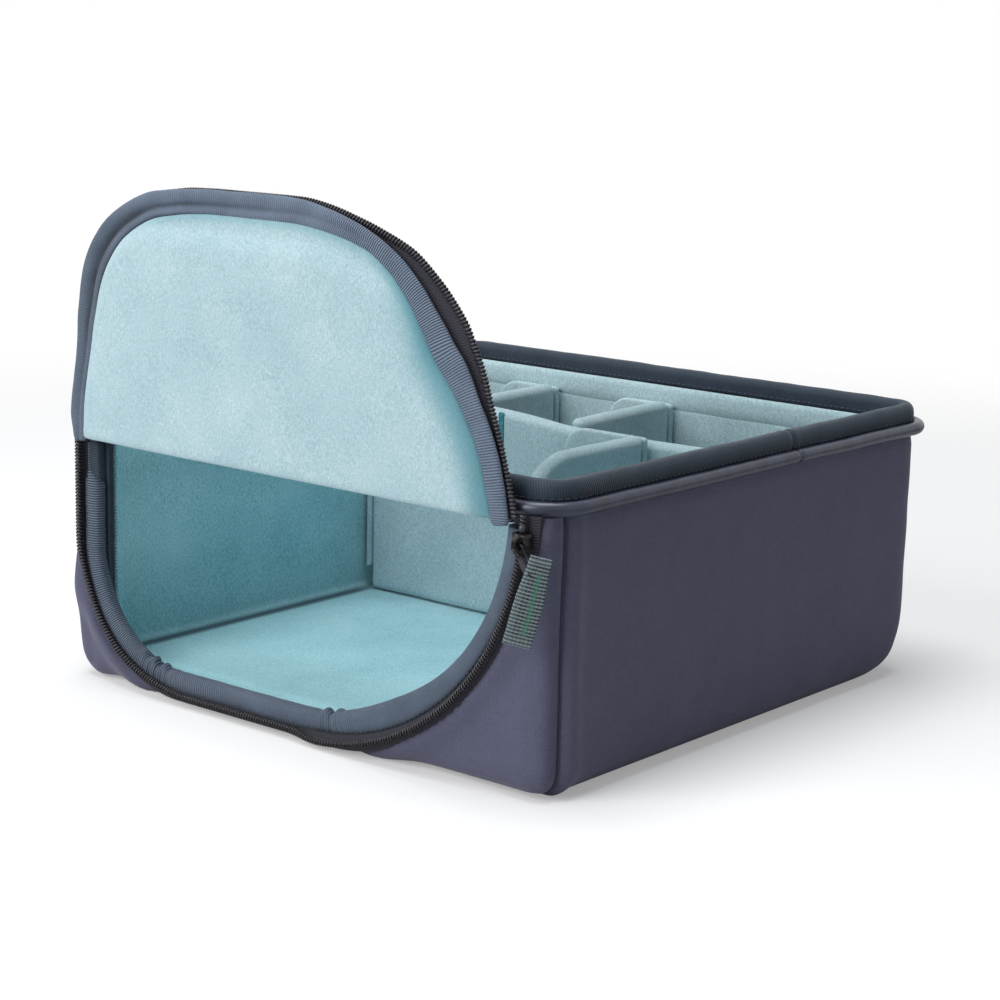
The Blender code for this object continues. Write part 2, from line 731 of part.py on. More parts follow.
def build_bail():
    place, out, down = slider_frame()
    sunk = BAIL_FACE + CLEAR
    hole_y = BAIL_FACE - BAIL_HOLE
    top_y = hole_y - BAIL_THICK
    hole_half = BAIL_HALF_LONG - BAIL_THICK
    profile = [
        (-BAIL_HALF_LONG, sunk),
        (-BAIL_HALF_LONG, hole_y),
        (-hole_half, top_y),
        (hole_half, top_y),
        (BAIL_HALF_LONG, hole_y),
        (BAIL_HALF_LONG, sunk),
        (hole_half, sunk),
        (hole_half, hole_y),
        (-hole_half, hole_y),
        (-hole_half, sunk),
    ]
    loops = []
    for side in (-BAIL_HALF_WIDE, BAIL_HALF_WIDE):
        points = [place + out * side + down * along for along, y in profile]
        loops.append([(point.x, y, point.z) for point, (along, y) in zip(points, profile)])
    return loft("bail_shape", loops)


def link_frame():
    """Centre of the link's lower bar, and the directions along the bar and down the tab."""
    place, out, down = slider_frame()
    centre = place + out * LINK_SIDE + down * LINK_DROP
    tab_down = Vector((-math.sin(TAB_LEAN), 0, -math.cos(TAB_LEAN)))
    along_bar = Vector((math.cos(TAB_LEAN), 0, -math.sin(TAB_LEAN)))
    return centre, along_bar, tab_down


def build_link():
    place, out, down = slider_frame()
    centre, along_bar, tab_down = link_frame()
    corners = [
        place - out * LINK_TOP_HALF,
        place + out * LINK_TOP_HALF,
        centre + along_bar * LINK_BOTTOM_HALF,
        centre - along_bar * LINK_BOTTOM_HALF,
    ]
    points = []
    for i, corner in enumerate(corners):
        before = (corners[i - 1] - corner).normalized()
        after = (corners[(i + 1) % len(corners)] - corner).normalized()
        points.append(corner + before * LINK_CORNER)
        points.append(corner + after * LINK_CORNER)
    rings = [bent_ring(points, i, place) for i in range(len(points))]
    link = loft("pull_link", rings, "gunmetal", ring=True)
    link.parent = pivot("link_pin", (place.x, LINK_Y, place.z))


def bent_ring(points, i, origin):
    """The wire's round section at one bend of its flat frame, mitred between the two runs that meet."""
    before = (points[i] - points[i - 1]).normalized()
    after = (points[(i + 1) % len(points)] - points[i]).normalized()
    mitre = Vector((-before.z - after.z, 0, before.x + after.x)).normalized()
    reach = LINK_R / mitre.dot(Vector((-before.z, 0, before.x)))
    ring = []
    for k in range(WIRE_SIDES):
        turn = math.radians(360 * k / WIRE_SIDES)
        across = mitre * (reach * math.cos(turn))
        ring.append(points[i] - origin + across + Vector((0, LINK_R * math.sin(turn), 0)))
    return ring


def hang(name, profile, wide, axis, finish=None):
    """A flat piece of one profile in (down the tab, y), as wide as given along the link's bar."""
    centre, along_bar, tab_down = link_frame()
    loops = []
    for side in (-wide / 2, wide / 2):
        points = [along_bar * side + tab_down * down for down, y in profile]
        loops.append([(point.x, y, point.z) for point, (down, y) in zip(points, profile)])
    made = loft(name, loops, finish)
    made.parent = axis
    return made


def build_pull_tab():
    """A cord loop round the link's lower bar, and the webbing tab sewn to its tail."""
    centre, along_bar, tab_down = link_frame()
    axis = pivot("tab_pin", (centre.x, LINK_Y, centre.z))
    half, thin = LOOP_THICK / 2, TAB_THICK / 2
    loop = [
        (-LOOP_HEAD, -half / 2),
        (-LOOP_HEAD / 2, -half),
        (LOOP_HEAD, -half),
        (LOOP_TAIL, -thin),
        (LOOP_TAIL, thin),
        (LOOP_HEAD, half),
        (-LOOP_HEAD / 2, half),
        (-LOOP_HEAD, half / 2),
    ]
    bore_r = LINK_R + CLEAR
    turns = [math.radians(360 * i / PIPING_SIDES) for i in range(PIPING_SIDES)]
    circle = [(bore_r * math.cos(turn), bore_r * math.sin(turn)) for turn in turns]
    bore = hang("loop_bore", circle, LOOP_WIDE * 2, axis)
    cut(hang("pull_loop", loop, LOOP_WIDE, axis, "zip_tape"), bore)
    top = LOOP_TAIL + CLEAR
    end = top + TAB_LONG
    flat = thin - TAB_HEM_DROP
    tab = [
        (top, -thin),
        (top + TAB_HEM, -thin),
        (top + TAB_HEM, -flat),
        (end - TAB_HEM, -flat),
        (end - TAB_HEM, -thin),
        (end, -thin),
        (end, thin),
        (top, thin),
    ]
    hang("pull_tab", tab, TAB_WIDE, axis, "woven_tab")


def arc_points(x, z, radius, start, end):
    points = []
    for i in range(ROUND_STEPS + 1):
        turn = math.radians(start + (end - start) * i / ROUND_STEPS)
        points.append((x + radius * math.cos(turn), z + radius * math.sin(turn)))
    return points


def slab(name, profile, low, high, across, finish):
    """A board of one profile in (run, z), between two places along the axis it is thin in."""
    loops = []
    for place in (low, high):
        if across == "x":
            loops.append([(place, run, z) for run, z in profile])
        else:
            loops.append([(run, place, z) for run, z in profile])
    return loft(name, loops, finish)


def board_profile(start, end, start_r, end_r, foot_r, top, sag=0.0):
    """Outline of a divider: rounded top ends, an optional rounded foot and a top that sags."""
    low = FLOOR + CLEAR
    points = [(start, low)]
    if foot_r:
        points += arc_points(end - foot_r, low + foot_r, foot_r, -90, 0)
    else:
        points += [(end, low)]
    points += arc_points(end - end_r, top - end_r, end_r, 0, 90)
    if sag:
        span = end - start
        first, last = start + span * SAG_START_SHARE, start + span * SAG_END_SHARE
        for i in range(SAG_POINTS, -1, -1):
            share = i / SAG_POINTS
            dip = sag * (1 - math.cos(math.radians(360) * share)) / 2
            points.append((first + (last - first) * share, top - dip))
    points += arc_points(start + start_r, top - start_r, start_r, 90, 180)
    return points


def tab_profile(root, free, root_low):
    """An end tab's face: square where it joins its divider, rounded at its free top corner."""
    top = DIVIDER_TOP - TAB_BELOW_TOP
    low = FLOOR + root_low
    way = math.copysign(1, free - root)
    corner = arc_points(0, 0, TAB_CORNER_R, 0, 90)
    points = [(root, low), (free, low)]
    points += [(free - way * (TAB_CORNER_R - x), top - TAB_CORNER_R + z) for x, z in corner]
    points.append((root, top))
    return points


def build_cross_divider():
    """The divider right across the box, held by an end tab on each side wall."""
    inner = WIDTH / 2 - WALL - CLEAR
    board_end = inner - HOOK - CLEAR - TAB_WALL - CLEAR
    front, rear = CROSS_Y - DIVIDER / 2, CROSS_Y + DIVIDER / 2
    corner = DIVIDER_CORNER_R
    profile = board_profile(-board_end, board_end, corner, corner, 0, DIVIDER_TOP, DIVIDER_SAG)
    slab("cross_divider", profile, front, rear, "y", "lining")
    face = tab_profile(front, rear + TAB_REACH, EDGE_R - WALL + CLEAR * 2)
    for side, word in ((1, "right"), (-1, "left")):
        tab = (side * (board_end + CLEAR), side * (board_end + CLEAR + TAB_WALL))
        hook = (side * (inner - HOOK), side * inner)
        slab(f"cross_tab_{word}", face, *tab, "x", "lining")
        slab(f"cross_hook_{word}", face, *hook, "x", "hook_strip")


def build_lens_divider():
    """The divider beside the large front bay, held on the cross divider by its end tab."""
    wall = CROSS_Y - DIVIDER / 2 - CLEAR
    tab_face = wall - HOOK - CLEAR
    board_end = tab_face - TAB_WALL - CLEAR
    left, right = LENS_X - DIVIDER / 2, LENS_X + DIVIDER / 2
    start = wall - LENS_REACH
    profile = board_profile(start, board_end, LENS_CORNER_R, DIVIDER_CORNER_R, 0, DIVIDER_TOP)
    slab("lens_divider", profile, left, right, "x", "lining")
    face = tab_profile(right, left - TAB_REACH, CLEAR)
    slab("lens_tab", face, tab_face - TAB_WALL, tab_face, "y", "lining")
    slab("lens_hook", face, wall - HOOK, wall, "y", "hook_strip")


def build_rear_divider(word, middle):
    """A short divider from the cross divider to the back wall, with its end tab on the wall."""
    inner = DEPTH / 2 - WALL - CLEAR
    tab_face = inner - HOOK - CLEAR
    board_end = tab_face - TAB_WALL - CLEAR
    left, right = middle - DIVIDER / 2, middle + DIVIDER / 2
    start = CROSS_Y + DIVIDER / 2 + CLEAR
    foot = LINING_BACK_R - (DEPTH / 2 - WALL - board_end) + CLEAR * 2
    profile = board_profile(start, board_end, DIVIDER_CORNER_R, DIVIDER_CORNER_R, foot, DIVIDER_TOP)
    slab(f"rear_{word}_divider", profile, left, right, "x", "lining")
    face = tab_profile(right, left - TAB_REACH, TAB_FOOT)
    slab(f"rear_{word}_tab", face, tab_face - TAB_WALL, tab_face, "y", "lining")
    slab(f"rear_{word}_hook", face, inner - HOOK, inner, "y", "hook_strip")


def main():
    clear_scene()
    build_box()
    build_rim()
    build_corner_bindings()
    build_opening_edge()
    build_opening_zip()
    build_hinge_tape()
    build_flap()
    build_slider()
    build_link()
    build_pull_tab()
    build_cross_divider()
    build_lens_divider()
    build_rear_divider("right", REAR_RIGHT_X)
    build_rear_divider("left", WALL + REAR_LEFT_BAY + DIVIDER / 2 - WIDTH / 2)
    bpy.context.view_layer.update()


main()
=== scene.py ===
# Camera bag insert: its fabrics, padding, seams and zip, and the studio that shows them.
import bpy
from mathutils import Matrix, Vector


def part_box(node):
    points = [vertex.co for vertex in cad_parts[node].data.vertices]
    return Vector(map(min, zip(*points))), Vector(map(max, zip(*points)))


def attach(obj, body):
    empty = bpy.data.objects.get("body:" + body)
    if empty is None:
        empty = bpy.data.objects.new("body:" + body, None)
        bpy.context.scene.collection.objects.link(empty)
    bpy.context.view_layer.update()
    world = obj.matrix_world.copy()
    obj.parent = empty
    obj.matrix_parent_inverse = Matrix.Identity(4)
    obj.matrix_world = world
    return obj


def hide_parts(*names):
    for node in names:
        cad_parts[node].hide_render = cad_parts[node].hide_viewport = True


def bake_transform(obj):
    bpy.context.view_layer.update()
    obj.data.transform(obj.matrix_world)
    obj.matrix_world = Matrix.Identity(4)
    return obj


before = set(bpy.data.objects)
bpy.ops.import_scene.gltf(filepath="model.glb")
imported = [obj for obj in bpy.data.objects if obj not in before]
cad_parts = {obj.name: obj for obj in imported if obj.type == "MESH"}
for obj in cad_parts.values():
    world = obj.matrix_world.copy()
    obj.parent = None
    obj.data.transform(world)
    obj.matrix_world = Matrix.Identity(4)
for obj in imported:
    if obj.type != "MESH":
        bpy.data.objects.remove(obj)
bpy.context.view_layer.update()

import math
import bmesh
import bpy
import numpy as np
from mathutils import Matrix, Vector, noise

mm = 0.001


def paint(red, green, blue):
    # a colour written as on a screen, 0 to 255, as the shader wants it
    made = []
    for part in (red, green, blue):
        part = part / 255
        made.append(part / 12.92 if part <= 0.04045 else ((part + 0.055) / 1.055) ** 2.4)
    return (*made, 1.0)


class Wire:
    # one socket of a node tree, which takes Python's sums
    def __init__(self, tree, socket=None):
        self.tree = tree
        self.socket = socket

    def node(self, kind, settings=None, inputs=None, output=0):
        made = self.tree.nodes.new(kind)
        for name, value in (settings or {}).items():
            setattr(made, name, value)
        for key, value in (inputs or {}).items():
            if isinstance(value, Wire):
                self.tree.links.new(value.socket, made.inputs[key])
            else:
                made.inputs[key].default_value = value
        return Wire(self.tree, made.outputs[output])

    def out(self, name):
        return Wire(self.tree, self.socket.node.outputs[name])

    def sum(self, operation, *values):
        return self.node("ShaderNodeMath", {"operation": operation}, dict(enumerate(values)))

    def __add__(self, other):
        return self.sum("ADD", self, other)

    def __radd__(self, other):
        return self.sum("ADD", other, self)

    def __sub__(self, other):
        return self.sum("SUBTRACT", self, other)

    def __rsub__(self, other):
        return self.sum("SUBTRACT", other, self)

    def __mul__(self, other):
        return self.sum("MULTIPLY", self, other)

    def __rmul__(self, other):
        return self.sum("MULTIPLY", other, self)

    def __truediv__(self, other):
        return self.sum("DIVIDE", self, other)

    def sine(self):
        return self.sum("SINE", self)

    def cosine(self):
        return self.sum("COSINE", self)

    def clip(self):
        return self.node("ShaderNodeClamp", {}, {"Value": self})

    def ease(self, low, high):
        # 0 below low, 1 above high, smooth between
        settings = {"interpolation_type": "SMOOTHSTEP"}
        return self.node("ShaderNodeMapRange", settings, {"Value": self, "From Min": low, "From Max": high})

    def vector(self, operation, *values):
        return self.node("ShaderNodeVectorMath", {"operation": operation}, dict(enumerate(values)))

    def between(self, first, second):
        # a colour between two, by this value
        inputs = {0: self, 6: first, 7: second}
        return self.node("ShaderNodeMix", {"data_type": "RGBA"}, inputs, output=2)

    def tones(self, pair):
        # a colour between two that are written as on a screen
        dark, light = pair
        return self.between(paint(*dark), paint(*light))


class Finish:
    # one material: its shader, the piece's coordinates, and noise measured in features per metre
    def __init__(self, name, sockets):
        self.material = bpy.data.materials.new(name)
        self.material.use_nodes = True
        self.bench = Wire(self.material.node_tree)
        self.shader = self.material.node_tree.nodes["Principled BSDF"]
        for key, value in sockets.items():
            self.shader.inputs[key].default_value = value
        self.place = self.bench.node("ShaderNodeTexCoord").out("Object")
        self.cloth = self.bench.node("ShaderNodeUVMap", {"uv_map": "Cloth"})
        self.along = self.bench.node("ShaderNodeSeparateXYZ", {}, {0: self.cloth})
        self.across = self.along.out("Y")

    def speckle(self, scale, detail=2.0, stretch=(1, 1, 1), source=None):
        spot = (source or self.place).vector("MULTIPLY", source or self.place, stretch)
        inputs = {"Vector": spot, "Scale": scale, "Detail": detail, "Roughness": 0.6}
        return self.bench.node("ShaderNodeTexNoise", {}, inputs)

    def mark(self, name):
        # a value that the mesh carries at its points, 0 where it has none
        return self.bench.node("ShaderNodeAttribute", {"attribute_name": name}).out("Fac")

    def feed(self, key, wire):
        self.bench.tree.links.new(wire.socket, self.shader.inputs[key])

    def raised(self, height, distance):
        self.feed("Normal", self.bench.node("ShaderNodeBump", {}, {"Distance": distance, "Height": height}))


outerCloth = {
    "tones": ((66, 67, 89), (100, 102, 126)),
    "threadPitch": 0.95 * mm,
    "threadScale": 1100,
    "threadStretch": 0.12,
    "grainScale": 1900,
    "cloudScale": 28,
    "bump": 0.10 * mm,
}


def outerFabric():
    # close plain weave, a little uneven from thread to thread
    made = Finish("outer_fabric", {"Sheen Weight": 0.22, "Sheen Roughness": 0.45, "Specular IOR Level": 0.3})
    turn = math.tau / outerCloth["threadPitch"]
    scale, thin = outerCloth["threadScale"], outerCloth["threadStretch"]
    up = made.speckle(scale, 2, (1.0, thin, 1), made.cloth)
    level = made.speckle(scale, 2, (thin, 1.0, 1), made.cloth)
    grain = made.speckle(outerCloth["grainScale"], 3)
    cloud = made.speckle(outerCloth["cloudScale"], 2)
    weft = (made.across * turn + up * 3).sine()
    warp = (made.along * turn + level * 3).sine()
    height = weft * warp * 0.3 + up * 0.35 + level * 0.35 + grain * 0.6
    tone = (up * 0.2 + level * 0.2 + grain * 0.7 + cloud * 0.12 - 0.11).ease(0.1, 0.9)
    made.feed("Base Color", tone.tones(outerCloth["tones"]))
    made.feed("Roughness", (grain * 0.2 + 0.68).clip())
    made.raised(height, outerCloth["bump"])
    return made.material


# each lining's ground, pile and pile ends. The box's, the flap's and the dividers' linings are one cloth,
# painted as a deeper shaded copy for the box and paler lit copies for the flap and the dividers; then, front
# to back, the span where the box's lining turns to the paler lit copy, a painted light; and each copy's
# painted shade colour
liningCloth = {
    "lining": ((124, 181, 193), (164, 220, 230), (200, 238, 243)),
    "flap_lining": ((146, 178, 187), (172, 200, 208), (203, 220, 225)),
    "lit_lining": ((148, 177, 184), (180, 206, 213), (214, 231, 236)),
    "sheen": (214, 228, 231),
    "shade": {"lining": (34, 66, 78), "flap_lining": (84, 146, 160), "lit_lining": (60, 84, 92)},
    "rear": (15 * mm, 95 * mm),
    "pileScale": 1700,
    "fibreScale": 1100,
    "cloudScale": 26,
    "bump": 0.2 * mm,
}


def brushedLining(name):
    # short brushed pile: pale fibre ends over a deeper ground
    made = Finish(name, {"Sheen Weight": 0.35, "Sheen Roughness": 0.6, "Specular IOR Level": 0.15})
    made.shader.inputs["Sheen Tint"].default_value = paint(*liningCloth["sheen"])
    fine = made.speckle(liningCloth["pileScale"], 3)
    fibres = made.speckle(liningCloth["fibreScale"], 2, (1.0, 1.0, 0.6))
    cloud = made.speckle(liningCloth["cloudScale"], 3)
    tone = fine * 0.5 + fibres * 0.35 + cloud * 0.22

    def piled(cloth):
        ground, pile, ends = (paint(*one) for one in liningCloth[cloth])
        return tone.ease(0.53, 0.74).between(tone.ease(0.38, 0.58).between(ground, pile), ends)

    colour = piled(name)
    # towards the back, the box's lining is painted as the dividers' paler lit copy, a painted light
    if name == "lining":
        deep = made.bench.node("ShaderNodeSeparateXYZ", {}, {0: made.place}).out("Y")
        colour = deep.ease(*liningCloth["rear"]).between(colour, piled("lit_lining"))
    # where the mesh's shade mark says, the lining's colour turns to its painted shade colour
    made.feed("Base Color", made.mark("PaintedShade").clip().between(colour, paint(*liningCloth["shade"][name])))
    made.feed("Roughness", (fine * 0.15 + 0.8).clip())
    made.raised(fine * 0.7 + fibres * 0.5, liningCloth["bump"])
    return made.material


# the grosgrain's tones: the rim's binding, the corner strips and the folded edge wear a darker copy of the
# same grosgrain, a painted shade; "shade" is the painted shade colour that the mesh's mark mixes in
ribbedTape = {
    "binding": ((48, 60, 78), (124, 140, 160)),
    "rim_binding": ((17, 25, 34), (62, 78, 94)),
    "shade": (20, 26, 36),
    "pitch": 1.15 * mm,
    "slant": 0.2,
    "driftScale": 70,
    "fibreScale": 1500,
    "cloudScale": 60,
    "bump": 0.30 * mm,
}


def grosgrain(name):
    # ribs run across the tape, so they follow its own length; the Ribs mark says how strong they are, in
    # relief and in colour, where the crests are painted lighter and the grooves darker, a painted shading of
    # the ribs
    made = Finish(name, {"Sheen Weight": 0.18, "Sheen Roughness": 0.4, "Specular IOR Level": 0.32})
    drift = made.speckle(ribbedTape["driftScale"], 2)
    fibres = made.speckle(ribbedTape["fibreScale"], 3)
    cloud = made.speckle(ribbedTape["cloudScale"], 2)
    slant = made.across * ribbedTape["slant"]
    rib = ((made.along + slant) * (math.tau / ribbedTape["pitch"]) + drift * 2.5).cosine() * 0.5 + 0.5
    strong = made.mark("Ribs")
    tone = ((rib - 0.5) * strong * 0.8 + fibres * 0.45 + cloud * 0.3 + 0.1).ease(0.05, 0.92)
    plain = tone.tones(ribbedTape[name])
    # where the mesh's shade mark says, the tape's colour turns to a painted shade
    made.feed("Base Color", made.mark("PaintedShade").clip().between(plain, paint(*ribbedTape["shade"])))
    made.feed("Roughness", (fibres * 0.2 + 0.62).clip())
    made.raised(rib * strong * 0.9 + fibres * 0.25, ribbedTape["bump"])
    return made.material


pipingSkin = {
    "tones": ((30, 36, 52), (50, 58, 80)),
    "cloudScale": 90,
    "fineScale": 1300,
    "bump": 0.3 * mm,
}


def glossyPiping():
    made = Finish("piping", {"Specular IOR Level": 0.5})
    cloud = made.speckle(pipingSkin["cloudScale"], 2)
    fine = made.speckle(pipingSkin["fineScale"], 2)
    made.feed("Base Color", cloud.ease(0.3, 0.7).tones(pipingSkin["tones"]))
    made.feed("Roughness", (cloud * 0.16 + fine * 0.06 + 0.20).clip())
    made.raised(cloud * 0.6 + fine * 0.15, pipingSkin["bump"])
    return made.material


zipTape = {
    "tones": ((24, 24, 31), (58, 57, 70)),
    "pitch": 1.1 * mm,
    "fibreScale": 1500,
    "bump": 0.12 * mm,
}


def zipTapeCloth():
    # tight herringbone tape
    made = Finish("zip_tape", {"Sheen Weight": 0.12, "Specular IOR Level": 0.3})
    turn = math.tau / zipTape["pitch"]
    fibres = made.speckle(zipTape["fibreScale"], 2)
    weave = (made.along * turn + (made.across * turn).sine() * 1.5).sine() * 0.5 + 0.5
    made.feed("Base Color", (weave * 0.5 + fibres * 0.5).ease(0.2, 0.85).tones(zipTape["tones"]))
    made.feed("Roughness", (fibres * 0.2 + 0.65).clip())
    made.raised(weave * 0.7 + fibres * 0.3, zipTape["bump"])
    return made.material


coilWire = {
    "tones": ((26, 26, 30), (56, 55, 62)),
    "cloudScale": 500,
    "bump": 0.04 * mm,
}


def coilNylon():
    made = Finish("zip_coil", {"Specular IOR Level": 0.55})
    cloud = made.speckle(coilWire["cloudScale"], 2)
    made.feed("Base Color", cloud.ease(0.3, 0.7).tones(coilWire["tones"]))
    made.feed("Roughness", (cloud * 0.2 + 0.2).clip())
    made.raised(cloud, coilWire["bump"])
    return made.material


plating = {
    "tones": ((32, 31, 33), (112, 109, 106)),
    "wearScale": 260,
    "fineScale": 1800,
    "bump": 0.02 * mm,
}


def blackenedMetal():
    # dark plating, rubbed brighter in places
    made = Finish("gunmetal", {})
    wear = made.speckle(plating["wearScale"], 4)
    fine = made.speckle(plating["fineScale"], 2)
    rubbed = (wear * 0.8 + fine * 0.2).ease(0.45, 0.72)
    made.feed("Base Color", rubbed.tones(plating["tones"]))
    made.feed("Metallic", (1.0 - fine * 0.15).clip())
    made.feed("Roughness", (0.42 - rubbed * 0.18).clip())
    made.raised(fine, plating["bump"])
    return made.material


thread = {
    "thread_dark": ((22, 26, 36), (52, 60, 76)),
    "thread_teal": ((92, 160, 160), (198, 226, 224)),
    "seam_teal": ((18, 92, 104), (78, 160, 168)),
    "thread_navy": ((40, 46, 64), (84, 92, 116)),
    "strandScale": 1800,
    "bump": 0.05 * mm,
}


def threadFinish(name):
    made = Finish(name, {"Sheen Weight": 0.2, "Specular IOR Level": 0.3})
    strands = made.speckle(thread["strandScale"], 2)
    made.feed("Base Color", strands.ease(0.3, 0.7).tones(thread[name]))
    made.feed("Roughness", (strands * 0.2 + 0.6).clip())
    made.raised(strands, thread["bump"])
    return made.material


hooks = {
    "tones": ((24, 26, 32), (62, 66, 76)),
    "dotScale": 900.0,
    "bump": 0.3 * mm,
}


def hookTape():
    # stiff moulded hooks, seen as dark dots
    made = Finish("hook_strip", {"Specular IOR Level": 0.4})
    inputs = {"Vector": made.place, "Scale": hooks["dotScale"]}
    dots = made.bench.node("ShaderNodeTexVoronoi", {}, inputs)
    made.feed("Base Color", dots.ease(0.1, 0.5).tones(hooks["tones"]))
    made.feed("Roughness", (dots * 0.3 + 0.45).clip())
    made.raised(1.0 - dots, hooks["bump"])
    return made.material


# the pull tab's weave; shares run across the tab and down it
ladder = {
    "yarn": ((48, 62, 68), (134, 151, 155)),
    "stripe": ((48, 98, 82), (92, 150, 128)),
    "gap": (22, 30, 34),
    "wide": 11.5 * mm,
    "long": 37 * mm,
    "rowPitch": 1.55 * mm,
    "columnPitch": 1.6 * mm,
    "edgeShare": 0.16,
    "hemShare": 0.05,
    "stripeShares": (0.50, 0.72),
    "stripeRowShares": (0.17, 0.90),
    "fibreScale": 1700,
    "driftScale": 300,
    "bump": 0.3 * mm,
}


def wovenTab():
    # ladder weave with a dense edge, and one plain stripe
    made = Finish("woven_tab", {"Sheen Weight": 0.2, "Specular IOR Level": 0.3})
    fibres = made.speckle(ladder["fibreScale"], 3)
    drift = made.speckle(ladder["driftScale"], 2)
    row = (made.along * (math.tau / ladder["rowPitch"]) + drift * 1.6).cosine() * 0.5 + 0.5
    column = (made.across * (math.tau / ladder["columnPitch"]) + drift * 1.6).cosine() * 0.5 + 0.5
    share = made.across / ladder["wide"]
    down = made.along / ladder["long"]
    edge = 1.0 - share.ease(ladder["edgeShare"], ladder["edgeShare"] + 0.05)
    hem = ladder["hemShare"]
    hems = (down.ease(0.98 - hem, 1.0 - hem) + (1.0 - down.ease(hem, hem + 0.02))).clip()
    solid = (edge + hems).clip()
    low, high = ladder["stripeShares"]
    start, end = ladder["stripeRowShares"]
    band = share.ease(low, low + 0.04) * (1.0 - share.ease(high - 0.04, high))
    band = band * down.ease(start, start + 0.01) * (1.0 - down.ease(end, end + 0.01))
    gap = (1.0 - row).ease(0.25, 0.65) * (column.ease(0.1, 0.45) * 0.75 + 0.25) * (1.0 - solid * 0.7)
    gap = gap * (1.0 - band * 0.7)
    tone = (fibres * 0.7 + row * 0.4).ease(0.2, 0.9)
    ground = (band * 0.85).between(tone.tones(ladder["yarn"]), tone.tones(ladder["stripe"]))
    made.feed("Base Color", gap.clip().between(ground, paint(*ladder["gap"])))
    made.feed("Roughness", (fibres * 0.2 + 0.65).clip())
    made.raised(row * 0.8 + fibres * 0.5 + column * 0.4, ladder["bump"])
    return made.material


floorLook = {
    "tones": ((222, 223, 224), (228, 229, 230)),
    "grainScale": 3,
    "lift": 0.30,
    "nearEdge": 0.45,
    "farEdge": 1.1,
}


def studioFloor():
    # pale floor that keeps the object's shadow and turns into the white background further out
    made = Finish("studio_floor", {"Roughness": 0.9, "Specular IOR Level": 0.1})
    made.feed("Base Color", made.speckle(floorLook["grainScale"], 2).tones(floorLook["tones"]))
    bench = made.bench
    seen = bench.node("ShaderNodeLightPath").out("Is Camera Ray")
    away = bench.node("ShaderNodeVectorMath", {"operation": "LENGTH"}, {0: made.place}, output=1)
    lifted = bench.node("ShaderNodeEmission", {}, {"Strength": floorLook["lift"]})
    white = bench.node("ShaderNodeEmission", {}, {"Strength": 1.0})
    shader = Wire(bench.tree, made.shader.outputs[0])
    near = bench.node("ShaderNodeAddShader", {}, {0: shader, 1: lifted})
    far = away.ease(floorLook["nearEdge"], floorLook["farEdge"])
    pale = bench.node("ShaderNodeMixShader", {}, {0: far, 1: near, 2: white})
    whole = bench.node("ShaderNodeMixShader", {}, {0: seen, 1: shader, 2: pale})
    end = bench.tree.nodes["Material Output"]
    bench.tree.links.new(whole.socket, end.inputs["Surface"])
    return made.material


finishes = {
    "outer_fabric": outerFabric(),
    "lining": brushedLining("lining"),
    "flap_lining": brushedLining("flap_lining"),
    "lit_lining": brushedLining("lit_lining"),
    "binding": grosgrain("binding"),
    "rim_binding": grosgrain("rim_binding"),
    "piping": glossyPiping(),
    "zip_tape": zipTapeCloth(),
    "zip_coil": coilNylon(),
    "gunmetal": blackenedMetal(),
    "hook_strip": hookTape(),
    "woven_tab": wovenTab(),
    "thread_dark": threadFinish("thread_dark"),
    "thread_teal": threadFinish("thread_teal"),
    "seam_teal": threadFinish("seam_teal"),
    "thread_navy": threadFinish("thread_navy"),
}
print("materials made", len(finishes))


def ease(low, high, value):
    share = np.clip((np.asarray(value, float) - low) / (high - low), 0, 1)
    return share * share * (3 - 2 * share)


def hump(value, centre, reach):
    return np.exp(-(((np.asarray(value, float) - centre) / reach) ** 2))


def wander(points, size, seed):
    # smooth unevenness from -1 to 1, fixed by its seed
    shift = Vector((seed * 7.31, seed * 3.17, seed * 5.73))
    flat = np.asarray(points, float).reshape(-1, 3)
    made = np.array([noise.noise(Vector(point) / size + shift) for point in flat])
    return made.reshape(np.asarray(points).shape[:-1])


def uneven(points, *layers):
    # unevenness in layers of (height, size, seed)
    return sum(high * wander(points, size, seed) for high, size, seed in layers)


def dome(value, reach):
    # from 0 at the edge to 1 at reach, level there
    return 1 - (1 - np.clip(value / reach, 0, 1)) ** 2


def quarterRound(value, reach):
    # a dome that starts upright
    return np.sqrt(np.clip(dome(value, reach), 0, 1))


def soften(points, times=2):
    # rounds a closed outline by cutting its corners
    points = np.asarray(points, float)
    for step in range(times):
        after = np.roll(points, -1, axis=0)
        points = np.stack([points * 0.75 + after * 0.25, points * 0.25 + after * 0.75], 1).reshape(-1, 2)
    return points


def directions(steps):
    return steps / np.linalg.norm(steps, axis=-1, keepdims=True)


def lengths(points, closed=False):
    # how far along a route each point lies; a closed one has its start again at the end
    steps = np.linalg.norm(np.diff(points, axis=0), axis=1)
    total = np.concatenate([[0], np.cumsum(steps)])
    if closed:
        total = np.append(total, total[-1] + np.linalg.norm(points[0] - points[-1]))
    return total


def clothMap(along, across):
    return np.stack(np.meshgrid(along, across, indexing="ij"), -1)


def newObject(name, mesh):
    made = bpy.data.objects.new(name, mesh)
    bpy.context.scene.collection.objects.link(made)
    return made


def faceOut(mesh, merge=0.0):
    work = bmesh.new()
    work.from_mesh(mesh)
    if merge:
        bmesh.ops.remove_doubles(work, verts=work.verts, dist=merge)
        bmesh.ops.dissolve_degenerate(work, edges=work.edges, dist=merge)
    bmesh.ops.recalc_face_normals(work, faces=work.faces)
    work.to_mesh(mesh)
    work.free()
    mesh.shade_smooth()


# a face corner's row and column in the Cloth map are packed in one number, row * rowMark + column
rowMark = 10000


